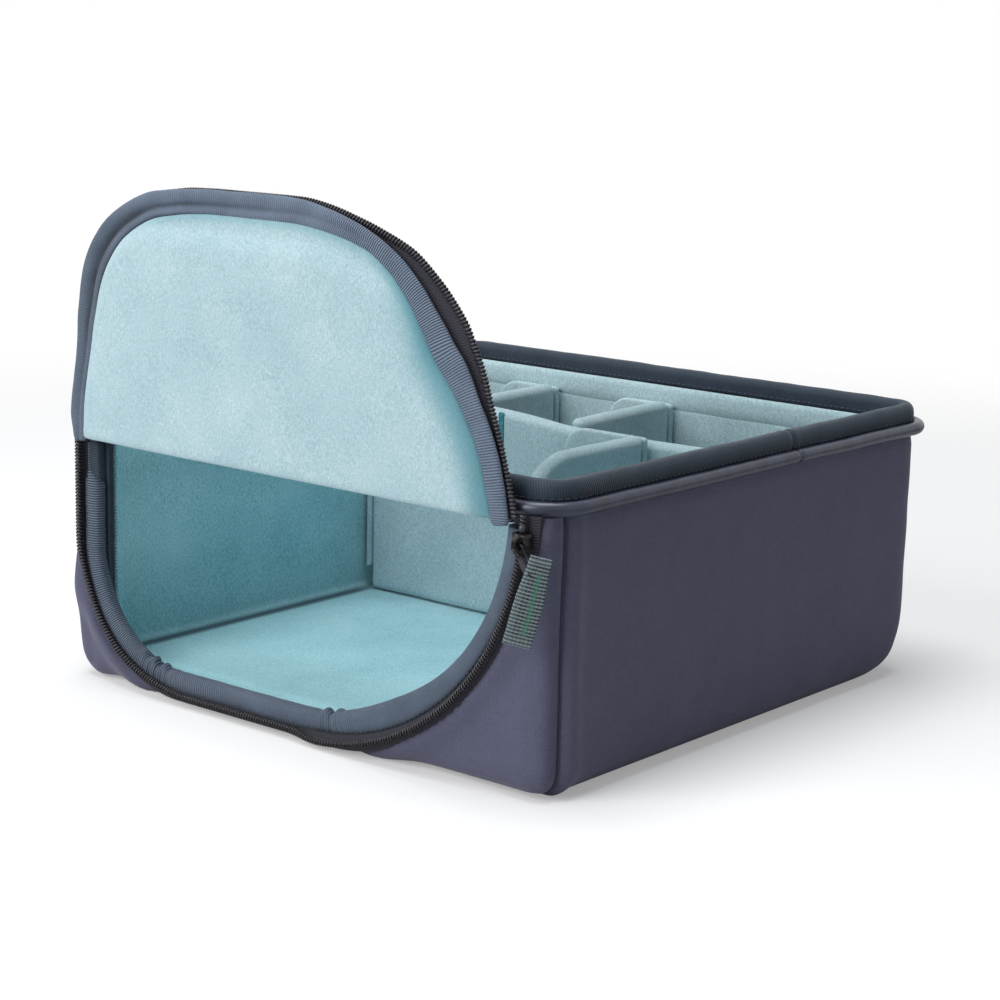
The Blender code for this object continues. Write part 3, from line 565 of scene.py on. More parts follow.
def quadIndex(rows, columns, wrapRows, wrapColumns):
    row = np.arange(rows if wrapRows else rows - 1)
    column = np.arange(columns if wrapColumns else columns - 1)
    row, column = np.meshgrid(row, column, indexing="ij")
    nextRow, nextColumn = (row + 1) % rows, (column + 1) % columns
    faces = np.stack([
        row * columns + column,
        row * columns + nextColumn,
        nextRow * columns + nextColumn,
        nextRow * columns + column,
    ], -1).reshape(-1, 4)
    start = row * rowMark + column
    corners = np.stack([start, start + 1, start + rowMark + 1, start + rowMark], -1).reshape(-1, 4)
    return faces, corners


def fillMesh(name, vertices, faces, corners, uv, caps=(), sharp=None, merge=0.0, ribs=None, shade=None):
    # a mesh with its Cloth map in metres; caps are many-sided faces that close it
    mesh = bpy.data.meshes.new(name)
    mesh.from_pydata(vertices.tolist(), [], faces.tolist() + [list(cap) for cap in caps])
    layer = mesh.uv_layers.new(name="Cloth")
    values = np.zeros((len(mesh.loops), 2))
    flat = corners.reshape(-1)
    values[: len(flat)] = uv[flat // rowMark, flat % rowMark]
    layer.data.foreach_set("uv", values.reshape(-1))
    # the Ribs mark, and the shade mark, which says where shade is painted into the colour
    for mark, amounts in (("Ribs", ribs), ("PaintedShade", shade)):
        if amounts is not None:
            mesh.attributes.new(mark, "FLOAT", "POINT").data.foreach_set("value", np.ravel(amounts))
    faceOut(mesh, merge)
    if sharp:
        mesh.set_sharp_from_angle(angle=sharp)
    return newObject(name, mesh)


def skinned(name, grid, uv, wrapRows=False, sharp=None, ribs=None, shade=None):
    # a tube of closed rings along a route; a route that isn't closed is capped
    rows, columns = grid.shape[:2]
    faces, corners = quadIndex(rows, columns, wrapRows, True)
    caps = () if wrapRows else (range(columns), range((rows - 1) * columns, rows * columns))
    if ribs is not None:
        ribs = np.repeat(np.broadcast_to(ribs, rows), columns)
    return fillMesh(name, grid.reshape(-1, 3), faces, corners, uv, caps, sharp, ribs=ribs, shade=shade)


def pillow(name, near, far, uv, merge=0.0, ribs=None, shade=None):
    # two equal sheets joined round their borders
    rows, columns = near.shape[:2]
    faces, corners = quadIndex(rows, columns, False, False)
    count = rows * columns
    border = [c for c in range(columns)]
    border += [r * columns + columns - 1 for r in range(1, rows)]
    border += [(rows - 1) * columns + c for c in range(columns - 2, -1, -1)]
    border += [r * columns for r in range(rows - 2, 0, -1)]
    seam = [[a, b, b + count, a + count] for a, b in zip(border, border[1:] + border[:1])]
    seamCorners = [[(v % count) // columns * rowMark + (v % count) % columns for v in face] for face in seam]
    allFaces = np.concatenate([faces, faces[:, ::-1] + count, np.array(seam)])
    allCorners = np.concatenate([corners, corners[:, ::-1], np.array(seamCorners)])
    vertices = np.concatenate([near.reshape(-1, 3), far.reshape(-1, 3)])
    if ribs is not None:
        ribs = np.full(len(vertices), ribs)
    if shade is not None:
        shade = np.tile(shade.reshape(-1), 2)
    return fillMesh(name, vertices, allFaces, allCorners, uv, merge=merge, ribs=ribs, shade=shade)


def swept(name, route, section, closed=False, sharp=None, ribs=None, shade=None):
    # route: origin, inward and up at each station; section: (inward, up) points, alike or one per station
    origin, inward, up = route
    section = np.asarray(section, float)
    if section.ndim == 2:
        section = repeated(section, len(origin))
    grid = origin[:, None] + inward[:, None] * section[..., :1] + up[:, None] * section[..., 1:]
    uv = clothMap(lengths(origin, closed), lengths(section[0], True))
    return skinned(name, grid, uv, closed, sharp, ribs, shade)


def repeated(section, count):
    # the same section at every station, ready to be changed
    return np.broadcast_to(section, (count, *section.shape)).copy()


def dress(piece, finish, body, slot, *nodes):
    piece.data.materials.clear()
    piece.data.materials.append(finishes[finish])
    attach(piece, body)
    if nodes:
        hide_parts(*nodes)
    return piece


def openTree(name, sizes):
    # a Geometry Nodes tree with its named sizes, and its input
    tree = bpy.data.node_groups.new(name, "GeometryNodeTree")
    tree.interface.new_socket("Geometry", in_out="INPUT", socket_type="NodeSocketGeometry")
    for label, kind, value in sizes:
        socket = tree.interface.new_socket(label, in_out="INPUT", socket_type=kind)
        socket.default_value = value
    tree.interface.new_socket("Finish", in_out="INPUT", socket_type="NodeSocketMaterial")
    tree.interface.new_socket("Geometry", in_out="OUTPUT", socket_type="NodeSocketGeometry")
    return tree, Wire(tree).node("NodeGroupInput")


def closeTree(tree, geometry, start):
    whole = geometry.node("GeometryNodeRealizeInstances", {}, {"Geometry": geometry})
    painted = whole.node("GeometryNodeSetMaterial", {}, {"Geometry": whole, "Material": start.out("Finish")})
    end = tree.nodes.new("NodeGroupOutput")
    tree.links.new(painted.socket, end.inputs[0])


def coilTree():
    # one wire wound round the route: half width in the cloth's plane, half depth out of it
    sizes = [
        ("Pitch", "NodeSocketFloat", 1.6 * mm),
        ("Half width", "NodeSocketFloat", 1.0 * mm),
        ("Half depth", "NodeSocketFloat", 0.8 * mm),
        ("Wire radius", "NodeSocketFloat", 0.35 * mm),
        ("Points a turn", "NodeSocketFloat", 10.0),
        ("Wire sides", "NodeSocketInt", 6),
    ]
    tree, start = openTree("wound coil", sizes)
    step = start.out("Pitch") / start.out("Points a turn")
    inputs = {"Curve": start.out("Geometry"), "Length": step}
    even = start.node("GeometryNodeResampleCurve", {"mode": "LENGTH"}, inputs)
    along = start.node("GeometryNodeSplineParameter").out("Length")
    turn = along * math.tau / start.out("Pitch")
    run = start.node("GeometryNodeInputTangent")
    side = run.vector("CROSS_PRODUCT", run, (0.0, 1.0, 0.0))
    grown = start.node("GeometryNodeInputRadius")
    wide = side.node("ShaderNodeVectorMath", {"operation": "SCALE"}, {
        0: side,
        3: turn.cosine() * start.out("Half width") * grown,
    })
    deep = side.node("ShaderNodeCombineXYZ", {}, {1: turn.sine() * start.out("Half depth") * grown})
    offset = wide.vector("ADD", wide, deep)
    wound = even.node("GeometryNodeSetPosition", {}, {"Geometry": even, "Offset": offset})
    inputs = {"Resolution": start.out("Wire sides"), "Radius": start.out("Wire radius")}
    ring = even.node("GeometryNodeCurvePrimitiveCircle", {}, inputs)
    inputs = {"Curve": wound, "Profile Curve": ring, "Fill Caps": True}
    closeTree(tree, even.node("GeometryNodeCurveToMesh", {}, inputs), start)
    return tree


def stitchTree():
    # stitches laid along a route, each a small round-ended bead of thread
    sizes = [
        ("Spacing", "NodeSocketFloat", 3.0 * mm),
        ("Stitch length", "NodeSocketFloat", 2.2 * mm),
        ("Thread radius", "NodeSocketFloat", 0.25 * mm),
        ("Slant", "NodeSocketFloat", 0.0),
        ("Unevenness", "NodeSocketFloat", 0.12),
        ("Bead sides", "NodeSocketInt", 6),
        ("Bead rings", "NodeSocketInt", 5),
        ("Seed", "NodeSocketInt", 3),
    ]
    tree, start = openTree("row of stitches", sizes)
    inputs = {"Curve": start.out("Geometry"), "Length": start.out("Spacing")}
    even = start.node("GeometryNodeResampleCurve", {"mode": "LENGTH"}, inputs)
    inputs = {"Segments": start.out("Bead sides"), "Rings": start.out("Bead rings"), "Radius": 1.0}
    bead = start.node("GeometryNodeMeshUVSphere", {}, inputs)
    run = start.node("GeometryNodeInputTangent")
    turned = start.node("FunctionNodeAlignRotationToVector", {"axis": "X"}, {"Vector": run})
    tilt = start.node("ShaderNodeCombineXYZ", {}, {1: start.out("Slant")})
    inputs = {"Rotation": turned, "Rotate By": tilt}
    turned = start.node("FunctionNodeRotateRotation", {"rotation_space": "LOCAL"}, inputs)
    loose = start.node("FunctionNodeRandomValue", {"data_type": "FLOAT"}, {
        2: 1.0 - start.out("Unevenness"),
        3: 1.0 + start.out("Unevenness"),
        "Seed": start.out("Seed"),
    }, output=1)
    size = start.node("ShaderNodeCombineXYZ", {}, {
        0: start.out("Stitch length") * 0.5 * loose,
        1: start.out("Thread radius"),
        2: start.out("Thread radius"),
    })
    inputs = {"Points": even, "Instance": bead, "Rotation": turned, "Scale": size}
    closeTree(tree, start.node("GeometryNodeInstanceOnPoints", {}, inputs), start)
    return tree


trees = {"coil": coilTree(), "stitches": stitchTree()}


def plainMesh(piece):
    # a piece's mesh as its modifiers leave it
    bpy.context.view_layer.update()
    evaluated = piece.evaluated_get(bpy.context.evaluated_depsgraph_get())
    return bpy.data.meshes.new_from_object(evaluated)


def layAlong(name, points, kind, finish, sizes, closed=False, grown=None):
    # runs a tree on a route and turns its result into a plain mesh
    curve = bpy.data.curves.new(name + "_route", "CURVE")
    curve.dimensions = "3D"
    spline = curve.splines.new("POLY")
    spline.points.add(len(points) - 1)
    flat = np.concatenate([points, np.ones((len(points), 1))], 1)
    spline.points.foreach_set("co", flat.reshape(-1))
    spline.use_cyclic_u = closed
    if grown is not None:
        spline.points.foreach_set("radius", grown)
    guide = newObject(name + "_route", curve)
    modifier = guide.modifiers.new("tree", "NODES")
    modifier.node_group = trees[kind]
    inputs = [item for item in trees[kind].interface.items_tree if item.in_out == "INPUT"]
    sockets = {item.name: item.identifier for item in inputs}
    for label, value in sizes.items():
        modifier[sockets[label]] = value
    modifier[sockets["Finish"]] = finishes[finish]
    mesh = plainMesh(guide)
    bpy.data.objects.remove(guide)
    faceOut(mesh)
    return newObject(name, mesh)


def cutAway(piece, cutter):
    # takes the cutter's shape out of a closed piece
    modifier = piece.modifiers.new("cut", "BOOLEAN")
    modifier.operation = "DIFFERENCE"
    modifier.solver = "EXACT"
    modifier.object = cutter
    mesh = plainMesh(piece)
    piece.modifiers.clear()
    piece.data = mesh
    bpy.data.objects.remove(cutter)
    return piece


# the box: outer half width, floor and rounding radii, all as built
box = {
    "half": 140 * mm,
    "corner": 16 * mm,
    "leastTurn": 1.5 * mm,
    "edge": 14 * mm,
    "backEdge": 34 * mm,
    "wall": 10 * mm,
    "wallTop": 116.2 * mm,
    "padTop": 111.5 * mm,
    "rim": 130 * mm,
    "seamTurn": 9 * mm,
    "seamLow": 0.35,
    "seamRound": 5 * mm,
}

# the zipped opening's outline in the front wall: a straight side, a small arc, a flat bottom and a large arc
opening = {
    "left": -131 * mm,
    "leftTurn": 60 * mm,
    "bottom": 4.5 * mm,
    "bottomEnd": 12 * mm,
    "rightTurn": 115 * mm,
    "rightCentre": 119.5 * mm,
    "inset": 7.2 * mm,
    "cutFrom": -160 * mm,
    "cutTo": -120 * mm,
    "cutStep": 3 * mm,
}


def insetAt(x, z):
    # how far inside the opening's outline a point of the front wall lies
    o = opening
    leftCentre = o["left"] + o["leftTurn"]
    low = o["bottom"] + o["leftTurn"]
    straight = np.minimum(x - o["left"], z - o["bottom"])
    corner = o["leftTurn"] - np.hypot(x - leftCentre, z - low)
    sweep = o["rightTurn"] - np.hypot(x - o["bottomEnd"], np.minimum(z, o["rightCentre"]) - o["rightCentre"])
    made = np.where((x < leftCentre) & (z < low), corner, straight)
    return np.where(x > o["bottomEnd"], sweep, made)


def openingRoute(top, step, bulge=None):
    # origins and inward directions along the outline, down the left side and round to the right end
    o = opening
    leftCentre = np.array([o["left"] + o["leftTurn"], o["bottom"] + o["leftTurn"]])
    rightCentre = np.array([o["bottomEnd"], o["rightCentre"]])
    points, normals = [], []

    def run(first, last, normal):
        count = max(2, int(np.linalg.norm(last - first) / step))
        for k in range(count):
            points.append(first + (last - first) * k / count)
            normals.append(normal)

    def arc(centre, radius, start, end):
        count = max(2, int(radius * abs(end - start) / step))
        for k in range(count):
            turn = start + (end - start) * k / count
            away = np.array([math.cos(turn), math.sin(turn)])
            points.append(centre + radius * away)
            normals.append(-away)

    run(np.array([o["left"], top]), np.array([o["left"], leftCentre[1]]), np.array([1.0, 0.0]))
    arc(leftCentre, o["leftTurn"], math.pi, 1.5 * math.pi)
    run(np.array([leftCentre[0], o["bottom"]]), np.array([o["bottomEnd"], o["bottom"]]), np.array([0.0, 1.0]))
    end = -math.asin(max(-1.0, min(1.0, (o["rightCentre"] - top) / o["rightTurn"])))
    arc(rightCentre, o["rightTurn"], -0.5 * math.pi, end)
    away = np.array([math.cos(end), math.sin(end)])
    points.append(rightCentre + o["rightTurn"] * away)
    normals.append(-away)
    points, normals = np.array(points), np.array(normals)
    if bulge is not None:
        points = points - normals * bulge(lengths(points))[:, None]
        tangent = directions(np.gradient(points, axis=0))
        normals = np.stack([-tangent[:, 1], tangent[:, 0]], 1)
    flat = np.zeros(len(points))
    origin = np.stack([points[:, 0], flat, points[:, 1]], 1)
    inward = np.stack([normals[:, 0], flat, normals[:, 1]], 1)
    return origin, inward, np.tile([0.0, 1.0, 0.0], (len(points), 1))


def panelPrism(name, inset, top):
    # a solid of the opening's own outline, to cut with
    origin, inward, up = openingRoute(top, opening["cutStep"])
    edge = origin + inward * inset
    grid = np.stack([edge + up * opening["cutFrom"], edge + up * opening["cutTo"]])
    return skinned(name, grid, np.zeros((2, len(edge) + 1, 2)))


# how closely the box's columns stand: finely by the front's seam, plainly elsewhere
columnSteps = {
    "frontReach": 26 * mm,
    "front": 0.8 * mm,
    "sideReach": 14 * mm,
    "side": 1.4 * mm,
    "plain": 4 * mm,
    "back": 62,
    "frontCorner": 43,
    "backCorner": 13,
}


def boxColumns():
    # places round the box, from the front's left end: which run or corner, and how far along it
    c = columnSteps
    run = box["half"] * 2 - box["corner"] * 2
    fine = np.arange(0, c["frontReach"], c["front"])
    middle = np.arange(c["frontReach"], run - c["frontReach"], c["plain"])
    front = np.concatenate([fine, middle, (run - fine)[::-1]]) / run
    near = np.arange(0, c["sideReach"], c["side"])
    right = np.concatenate([near, np.arange(c["sideReach"], run + 1 * mm, c["plain"])]) / run
    frontCorner = np.linspace(0, 1, c["frontCorner"])[1:-1]
    backCorner = np.linspace(0, 1, c["backCorner"])[1:-1]
    runs = [front, right, np.linspace(0, 1, c["back"]), 1 - right[::-1]]
    corners = [frontCorner, backCorner, backCorner, frontCorner]
    made = []
    for k in range(4):
        made += [(k, False, share) for share in np.clip(runs[k], 0, 1)]
        made += [(k, True, share) for share in corners[k]]
    return made


def boxRing(columns, side, back, frontTurn, backTurn):
    # one level of the box: four straight runs and four rounded corners
    half = box["half"]
    x, low, high = half - side, side - half, half - back
    f, b = frontTurn, backTurn
    starts = [(-x + f, low), (x, low + f), (x - b, high), (-x, high - b)]
    ends = [(x - f, low), (x, high - b), (-x + b, high), (-x, low + f)]
    centres = [(x - f, low + f), (x - b, high - b), (-x + b, high - b), (-x + f, low + f)]
    turns = [f, b, b, f]
    ring = []
    for k, corner, share in columns:
        if corner:
            angle = math.radians(-90 + 90 * k + 90 * share)
            centre = centres[k]
            ring.append((centre[0] + turns[k] * math.cos(angle), centre[1] + turns[k] * math.sin(angle)))
        else:
            start, end = starts[k], ends[k]
            ring.append((start[0] + (end[0] - start[0]) * share, start[1] + (end[1] - start[1]) * share))
    return np.array(ring)


def roundedIn(z, radius):
    # how far a rounded bottom edge stands in at a height
    if z >= radius:
        return 0.0
    return radius - math.sqrt(max(0.0, radius * radius - (radius - z) ** 2))


def tubGrid(columns, levels, form):
    inset, corner = form["inset"], form["corner"]
    rows = []
    for z in levels:
        side = roundedIn(z - form["floor"], form["edge"]) + inset
        back = roundedIn(z - form["floor"], form["backEdge"]) + inset
        flat = boxRing(columns, side, back, max(corner - side + inset, box["leastTurn"]), corner)
        rows.append(np.concatenate([flat, np.full((len(flat), 1), z)], 1))
    return np.array(rows)


def gridNormals(grid):
    run = np.roll(grid, -1, 1) - np.roll(grid, 1, 1)
    made = np.cross(run, np.gradient(grid, axis=0))
    size = np.linalg.norm(made, axis=-1, keepdims=True)
    return made / np.maximum(size, 1e-9)


def tubMap(columns, ring, grid):
    # round the tub and up it, from one ring and from one column at the front's middle
    return clothMap(lengths(grid[:, len(columns) // 8]), lengths(ring, True))[..., ::-1]


def tub(name, outer, inner, uv, shade=None):
    # outer and inner skins of the box, joined round the top and closed below
    columns = outer.shape[1]
    grid = np.concatenate([outer, inner[::-1]])
    faces, corners = quadIndex(len(grid), columns, False, True)
    last = len(grid) - 1
    caps = [range(columns), range(last * columns, (last + 1) * columns)]
    inside = uv[-1:].repeat(len(inner), 0) * np.array([1, 0]) + np.array([0, 0.2])
    whole = np.concatenate([uv, inside])
    if shade is not None:
        shade = np.concatenate([shade.reshape(-1), np.zeros(len(inner) * columns)])
    return fillMesh(name, grid.reshape(-1, 3), faces, corners, whole, caps, shade=shade)


def centreRings(grid, steps):
    # carries the lowest ring in over the floor, so that it isn't one many-sided face
    centre = grid[0].mean(0)
    shares = [k / steps for k in range(1, steps)] + [0.97]
    rings = [centre + (grid[0] - centre) * share for share in shares]
    for ring in rings:
        ring[:, 2] = grid[0][:, 2]
    return np.concatenate([np.array(rings), grid])


def seamDistance(columns, levels):
    # distance in the outer cloth from the front panel's seam
    run = box["half"] * 2 - box["corner"] * 2
    arc = box["corner"] * math.pi / 2
    sideways = []
    for k, corner, share in columns:
        if k == 0 and not corner:
            sideways.append(abs(share - 0.5) * run)
        elif k == 0 or (k == 3 and corner):
            near = share if k == 0 else 1 - share
            sideways.append(run / 2 + near * arc)
        elif k == 1 or k == 3:
            near = share if k == 1 else 1 - share
            sideways.append(run / 2 + arc + near * run)
        else:
            sideways.append(run)
    sideways = np.array(sideways) - run / 2 - arc / 2 - box["seamRound"]
    down = []
    for z in levels:
        if z < box["edge"]:
            turn = math.acos(max(-1.0, 1 - z / box["edge"]))
            down.append(box["edge"] * (box["seamLow"] - turn))
        else:
            down.append(-box["edge"] * (math.pi / 2 - box["seamLow"]) - (z - box["edge"]))
    qx = sideways[None, :] + box["seamTurn"]
    qy = np.array(down)[:, None] + box["seamTurn"]
    inside = np.minimum(np.maximum(qx, qy), 0)
    return inside + np.hypot(np.maximum(qx, 0), np.maximum(qy, 0)) - box["seamTurn"]


# where the front wall's foam ends: how far it thins, and over which inset and depth
thinEdge = {
    "deep": 6.2 * mm,
    "inset": (-14 * mm, -2 * mm),
    "depth": (-118 * mm, -128 * mm),
    "rise": 5 * mm,
}


def thinLip(grid):
    # the front wall thins towards the opening's edge
    share = ease(*thinEdge["inset"], insetAt(grid[..., 0], grid[..., 2]))
    share = share * ease(*thinEdge["depth"], grid[..., 1])
    share = share * ease(box["wall"], box["wall"] + thinEdge["rise"], grid[..., 2])
    made = grid.copy()
    made[..., 1] -= thinEdge["deep"] * share
    return made


shell = {
    "skin": {
        "inset": 0.0,
        "floor": 0.0,
        "edge": box["edge"],
        "backEdge": box["backEdge"],
        "corner": box["corner"],
    },
    "inside": {
        "inset": 7.3 * mm,
        "floor": 8.2 * mm,
        "edge": 5 * mm,
        "backEdge": 11 * mm,
        "corner": 8.7 * mm,
    },
    "edgeRings": 46,
    "fineStep": 0.8 * mm,
    "fineTop": 36 * mm,
    "step": 2.6 * mm,
    "grooveDeep": 2.3 * mm,
    "grooveWide": 0.75 * mm,
    "valleyDeep": 1.5 * mm,
    "valleyWide": 2.8 * mm,
    "puff": 1.0 * mm,
    "puffPlace": 6.5 * mm,
    "puffWide": 4.5 * mm,
    "lip": 3.6 * mm,
    "lipPlace": 5.5 * mm,
    "lipWide": 6.0 * mm,
    "layers": ((0.5 * mm, 45 * mm, 1), (0.25 * mm, 14 * mm, 2)),
    "settle": 12 * mm,
    "leftSwell": 4.2 * mm,
    "leftSwellPlace": 30 * mm,
    "topPull": 0.9 * mm,
    "topReach": 5 * mm,
}


def outerShell():
    # the padded outer cloth, with the front panel's sunk seam and the lip that the zip pulls up
    s = shell
    columns = boxColumns()
    edge = box["edge"]
    low = edge * (1 - np.cos(np.radians(np.linspace(0, 90, s["edgeRings"]))))
    low[0] = 0.0
    fine = np.arange(edge + s["fineStep"], s["fineTop"], s["fineStep"])
    plain = np.arange(s["fineTop"] + 2 * mm, box["wallTop"], s["step"])
    levels = np.concatenate([low, fine, plain, [box["wallTop"]]])
    outer = tubGrid(columns, levels, s["skin"])
    x, y, z = (outer[..., k] for k in range(3))
    distance = seamDistance(columns, levels)
    push = -s["grooveDeep"] * hump(distance, 0, s["grooveWide"])
    push = push - s["valleyDeep"] * hump(distance, 0, s["valleyWide"])
    push = push + s["puff"] * hump(np.abs(distance), s["puffPlace"], s["puffWide"])
    outward = -insetAt(x, z)
    facing = ease(-126 * mm, -134 * mm, y) * (outward > -3 * mm)
    lip = s["lip"] * hump(outward, s["lipPlace"], s["lipWide"])
    push = push + lip * ease(1.5 * mm, 5 * mm, outward) * facing
    push = push + uneven(outer, *s["layers"]) * ease(0.0, s["settle"], z)
    # the panel swells towards its left corner
    full = ease(-112 * mm, -130 * mm, x) * ease(-116 * mm, -127 * mm, y) * ease(-139.8 * mm, -134.5 * mm, y)
    push = push + s["leftSwell"] * full * hump(z, s["leftSwellPlace"], s["leftSwellPlace"])
    push = push - s["topPull"] * (1 - ease(box["wallTop"], box["wallTop"] - s["topReach"], z))
    outer = outer + gridNormals(outer) * push[..., None]
    outer[..., 2] = np.maximum(outer[..., 2], 0.0)
    inner = tubGrid(columns, levels[40::6], s["inside"])
    inner[0, :, 2] = s["inside"]["floor"]
    inner[-1, :, 2] = box["wallTop"]
    made = tub("outer_shell", outer, thinLip(inner), tubMap(columns, outer[-10], outer))
    return cutAway(made, panelPrism("opening_cutter", opening["inset"], box["padTop"]))


outer = dress(outerShell(), "outer_fabric", "box", "outer_fabric",
    "base_outer", "front_outer", "outer_wrap",
    "base_foam", "front_foam", "right_foam", "back_foam", "left_foam")
print("outer shell", len(outer.data.polygons))

frontSeam = {
    "thread": {"Spacing": 2.2 * mm, "Stitch length": 2.0 * mm, "Thread radius": 0.28 * mm, "Seed": 5},
    "sideSteps": 40,
    "turnSteps": 20,
    "bottomSteps": 80,
    "deep": 3.0 * mm,
    "centre": 60 * mm,
}


def frontSeamRoute():
    # the sunk seam of the front panel: down one corner, along the bottom and up the other
    half, corner, edge, turn = box["half"], box["corner"], box["edge"], box["seamTurn"]
    run = half - corner
    side = run + corner * math.pi / 4 + box["seamRound"]
    bend = edge * (math.pi / 2 - box["seamLow"])
    tall = box["wallTop"] - edge + bend

    def place(sideways, down):
        inset, z = 0.0, edge - down - bend
        theta = box["seamLow"] - down / edge
        if theta < math.pi / 2:
            inset, z = edge * (1 - math.sin(theta)), edge * (1 - math.cos(theta))
        past = abs(sideways) - run
        if past <= 0:
            return (sideways, inset - half, z)
        angle = min(past / corner, math.pi / 2)
        reach = corner - inset
        return (math.copysign(run + reach * math.sin(angle), sideways), -run - reach * math.cos(angle), z)

    shares = np.arange(frontSeam["sideSteps"]) / frontSeam["sideSteps"]
    angles = np.arange(frontSeam["turnSteps"]) / frontSeam["turnSteps"] * math.pi / 2
    across = np.arange(frontSeam["bottomSteps"]) / frontSeam["bottomSteps"]
    plan = [(-side, -tall + (tall - turn) * share) for share in shares]
    plan += [(-side + turn * (1 - math.cos(a)), -turn * (1 - math.sin(a))) for a in angles]
    plan += [(-side + turn + (2 * side - 2 * turn) * share, 0.0) for share in across]
    plan += [(side - turn + turn * math.sin(a), -turn * (1 - math.cos(a))) for a in angles]
    plan += [(side, -turn - (tall - turn) * share) for share in (*shares, 1.0)]
    points = np.array([place(*one) for one in plan])
    away = directions(points - np.array([0.0, 0.0, frontSeam["centre"]]))
    return points - away * frontSeam["deep"]


seamRoute = frontSeamRoute()
seamStitches = layAlong("front_seam_stitches", seamRoute, "stitches", "thread_dark", frontSeam["thread"])
dress(seamStitches, "thread_dark", "box", "outer_fabric")

liningPad = {
    "skin": {
        "inset": box["wall"],
        "floor": box["wall"],
        "edge": 4 * mm,
        "backEdge": 10 * mm,
        "corner": 6 * mm,
    },
    "inside": {
        "inset": 7.7 * mm,
        "floor": 8.5 * mm,
        "edge": 4 * mm,
        "backEdge": 10 * mm,
        "corner": 8 * mm,
    },
    "footHigh": 10 * mm,
    "footRings": 14,
    "wallFrom": 22 * mm,
    "wallStep": 3.5 * mm,
    "shoulderFrom": 97 * mm,
    "shoulderRings": 12,
    "floorRings": 12,
    "settle": 6 * mm,
    "uneven": (0.5 * mm, 40 * mm, 4),
    "floorUneven": (0.4 * mm, 50 * mm, 6),
    "sink": 0.2 * mm,
    "roll": 1.3 * mm,
    "rollHigh": 1.4 * mm,
    "shoulder": 1.0 * mm,
    "shoulderPlace": 99 * mm,
    "shoulderWide": 11 * mm,
    "jointShade": 0.85,
    "jointHigh": 1.3 * mm,
    "footShade": 0.2,
    "footShadeHigh": (62 * mm, 12 * mm),
    "floorShade": 0.26,
    "shadeFront": (-126 * mm, -116 * mm),
    "shadeRear": (30 * mm, 60 * mm),
    "rearFade": 0.6,
}


def liningShell():
    # brushed lining over padding, with a soft shoulder under the flat band at the top
    p = liningPad
    columns = boxColumns()[::2]
    floor, top = box["wall"], box["padTop"]
    low = floor + p["footHigh"] * (1 - np.cos(np.radians(np.linspace(0, 90, p["footRings"]))))
    wall = np.arange(p["wallFrom"], p["shoulderFrom"] - 1 * mm, p["wallStep"])
    levels = np.concatenate([low, wall, np.linspace(p["shoulderFrom"], top, p["shoulderRings"])])
    inner = tubGrid(columns, levels, p["skin"])
    height = inner[..., 2]
    push = (uneven(inner, p["uneven"]) - p["sink"]) * ease(floor, floor + p["settle"], height)
    push = push - p["roll"] * np.sqrt(np.clip(1 - (top - height) / p["rollHigh"], 0, 1))
    push = push + p["shoulder"] * hump(height, p["shoulderPlace"], p["shoulderWide"])
    inner = inner - gridNormals(inner) * push[..., None]
    inner[..., 2] = np.clip(inner[..., 2], floor - p["sink"], top)
    inside = thinLip(tubGrid(columns, levels, p["inside"]))
    inside[0, :, 2] = p["inside"]["floor"]
    rings = p["floorRings"]
    filled = centreRings(thinLip(inner), rings)
    filled[:rings, :, 2] += uneven(filled[:rings], p["floorUneven"])
    # painted shade where the walls meet the floor, a little towards the foot of the walls and over the floor,
    # faded out at the front and towards the back
    height = filled[..., 2] - floor
    shade = p["jointShade"] * hump(np.maximum(height, 0), 0, p["jointHigh"])
    shade = shade + p["footShade"] * ease(*p["footShadeHigh"], height)
    shade[:rings] = p["floorShade"]
    shade[rings] = np.maximum(shade[rings], p["floorShade"])
    deep = filled[..., 1]
    shade = shade * ease(*p["shadeFront"], deep) * (1 - p["rearFade"] * ease(*p["shadeRear"], deep))
    made = tub("lining_shell", filled, inside, tubMap(columns, filled[-3], filled), shade)
    return cutAway(made, panelPrism("lining_cutter", opening["inset"] + 0.2 * mm, box["padTop"] + 20 * mm))


lining = dress(liningShell(), "lining", "box", "lining", "base_lining", "front_lining", "lining_wrap")
print("lining shell", len(lining.data.polygons))


def planRoute(step, start=0.0):
    # round the box at its outer face, from the middle of the front; inward and up at each station
    half, corner = box["half"], box["corner"]
    run = (half - corner) * 2
    arc = corner * math.pi / 2
    total = 4 * (run + arc)
    count = int(total / step)
    origin, inward = [], []
    for k in range(count):
        s = (start + total * k / count + run / 2) % total
        leg = int(s // (run + arc))
        rest = s - leg * (run + arc)
        turn = math.radians(90 * leg)
        if rest < run:
            x, y, away = rest - run / 2, -half, -math.pi / 2
        else:
            away = (rest - run) / corner - math.pi / 2
            x = run / 2 + corner * math.cos(away)
            y = -run / 2 + corner * math.sin(away)
        c, q = math.cos(turn), math.sin(turn)
        origin.append((x * c - y * q, x * q + y * c, 0.0))
        inward.append((-math.cos(away + turn), -math.sin(away + turn), 0.0))
    return np.array(origin), np.array(inward), np.tile([0.0, 0.0, 1.0], (count, 1))


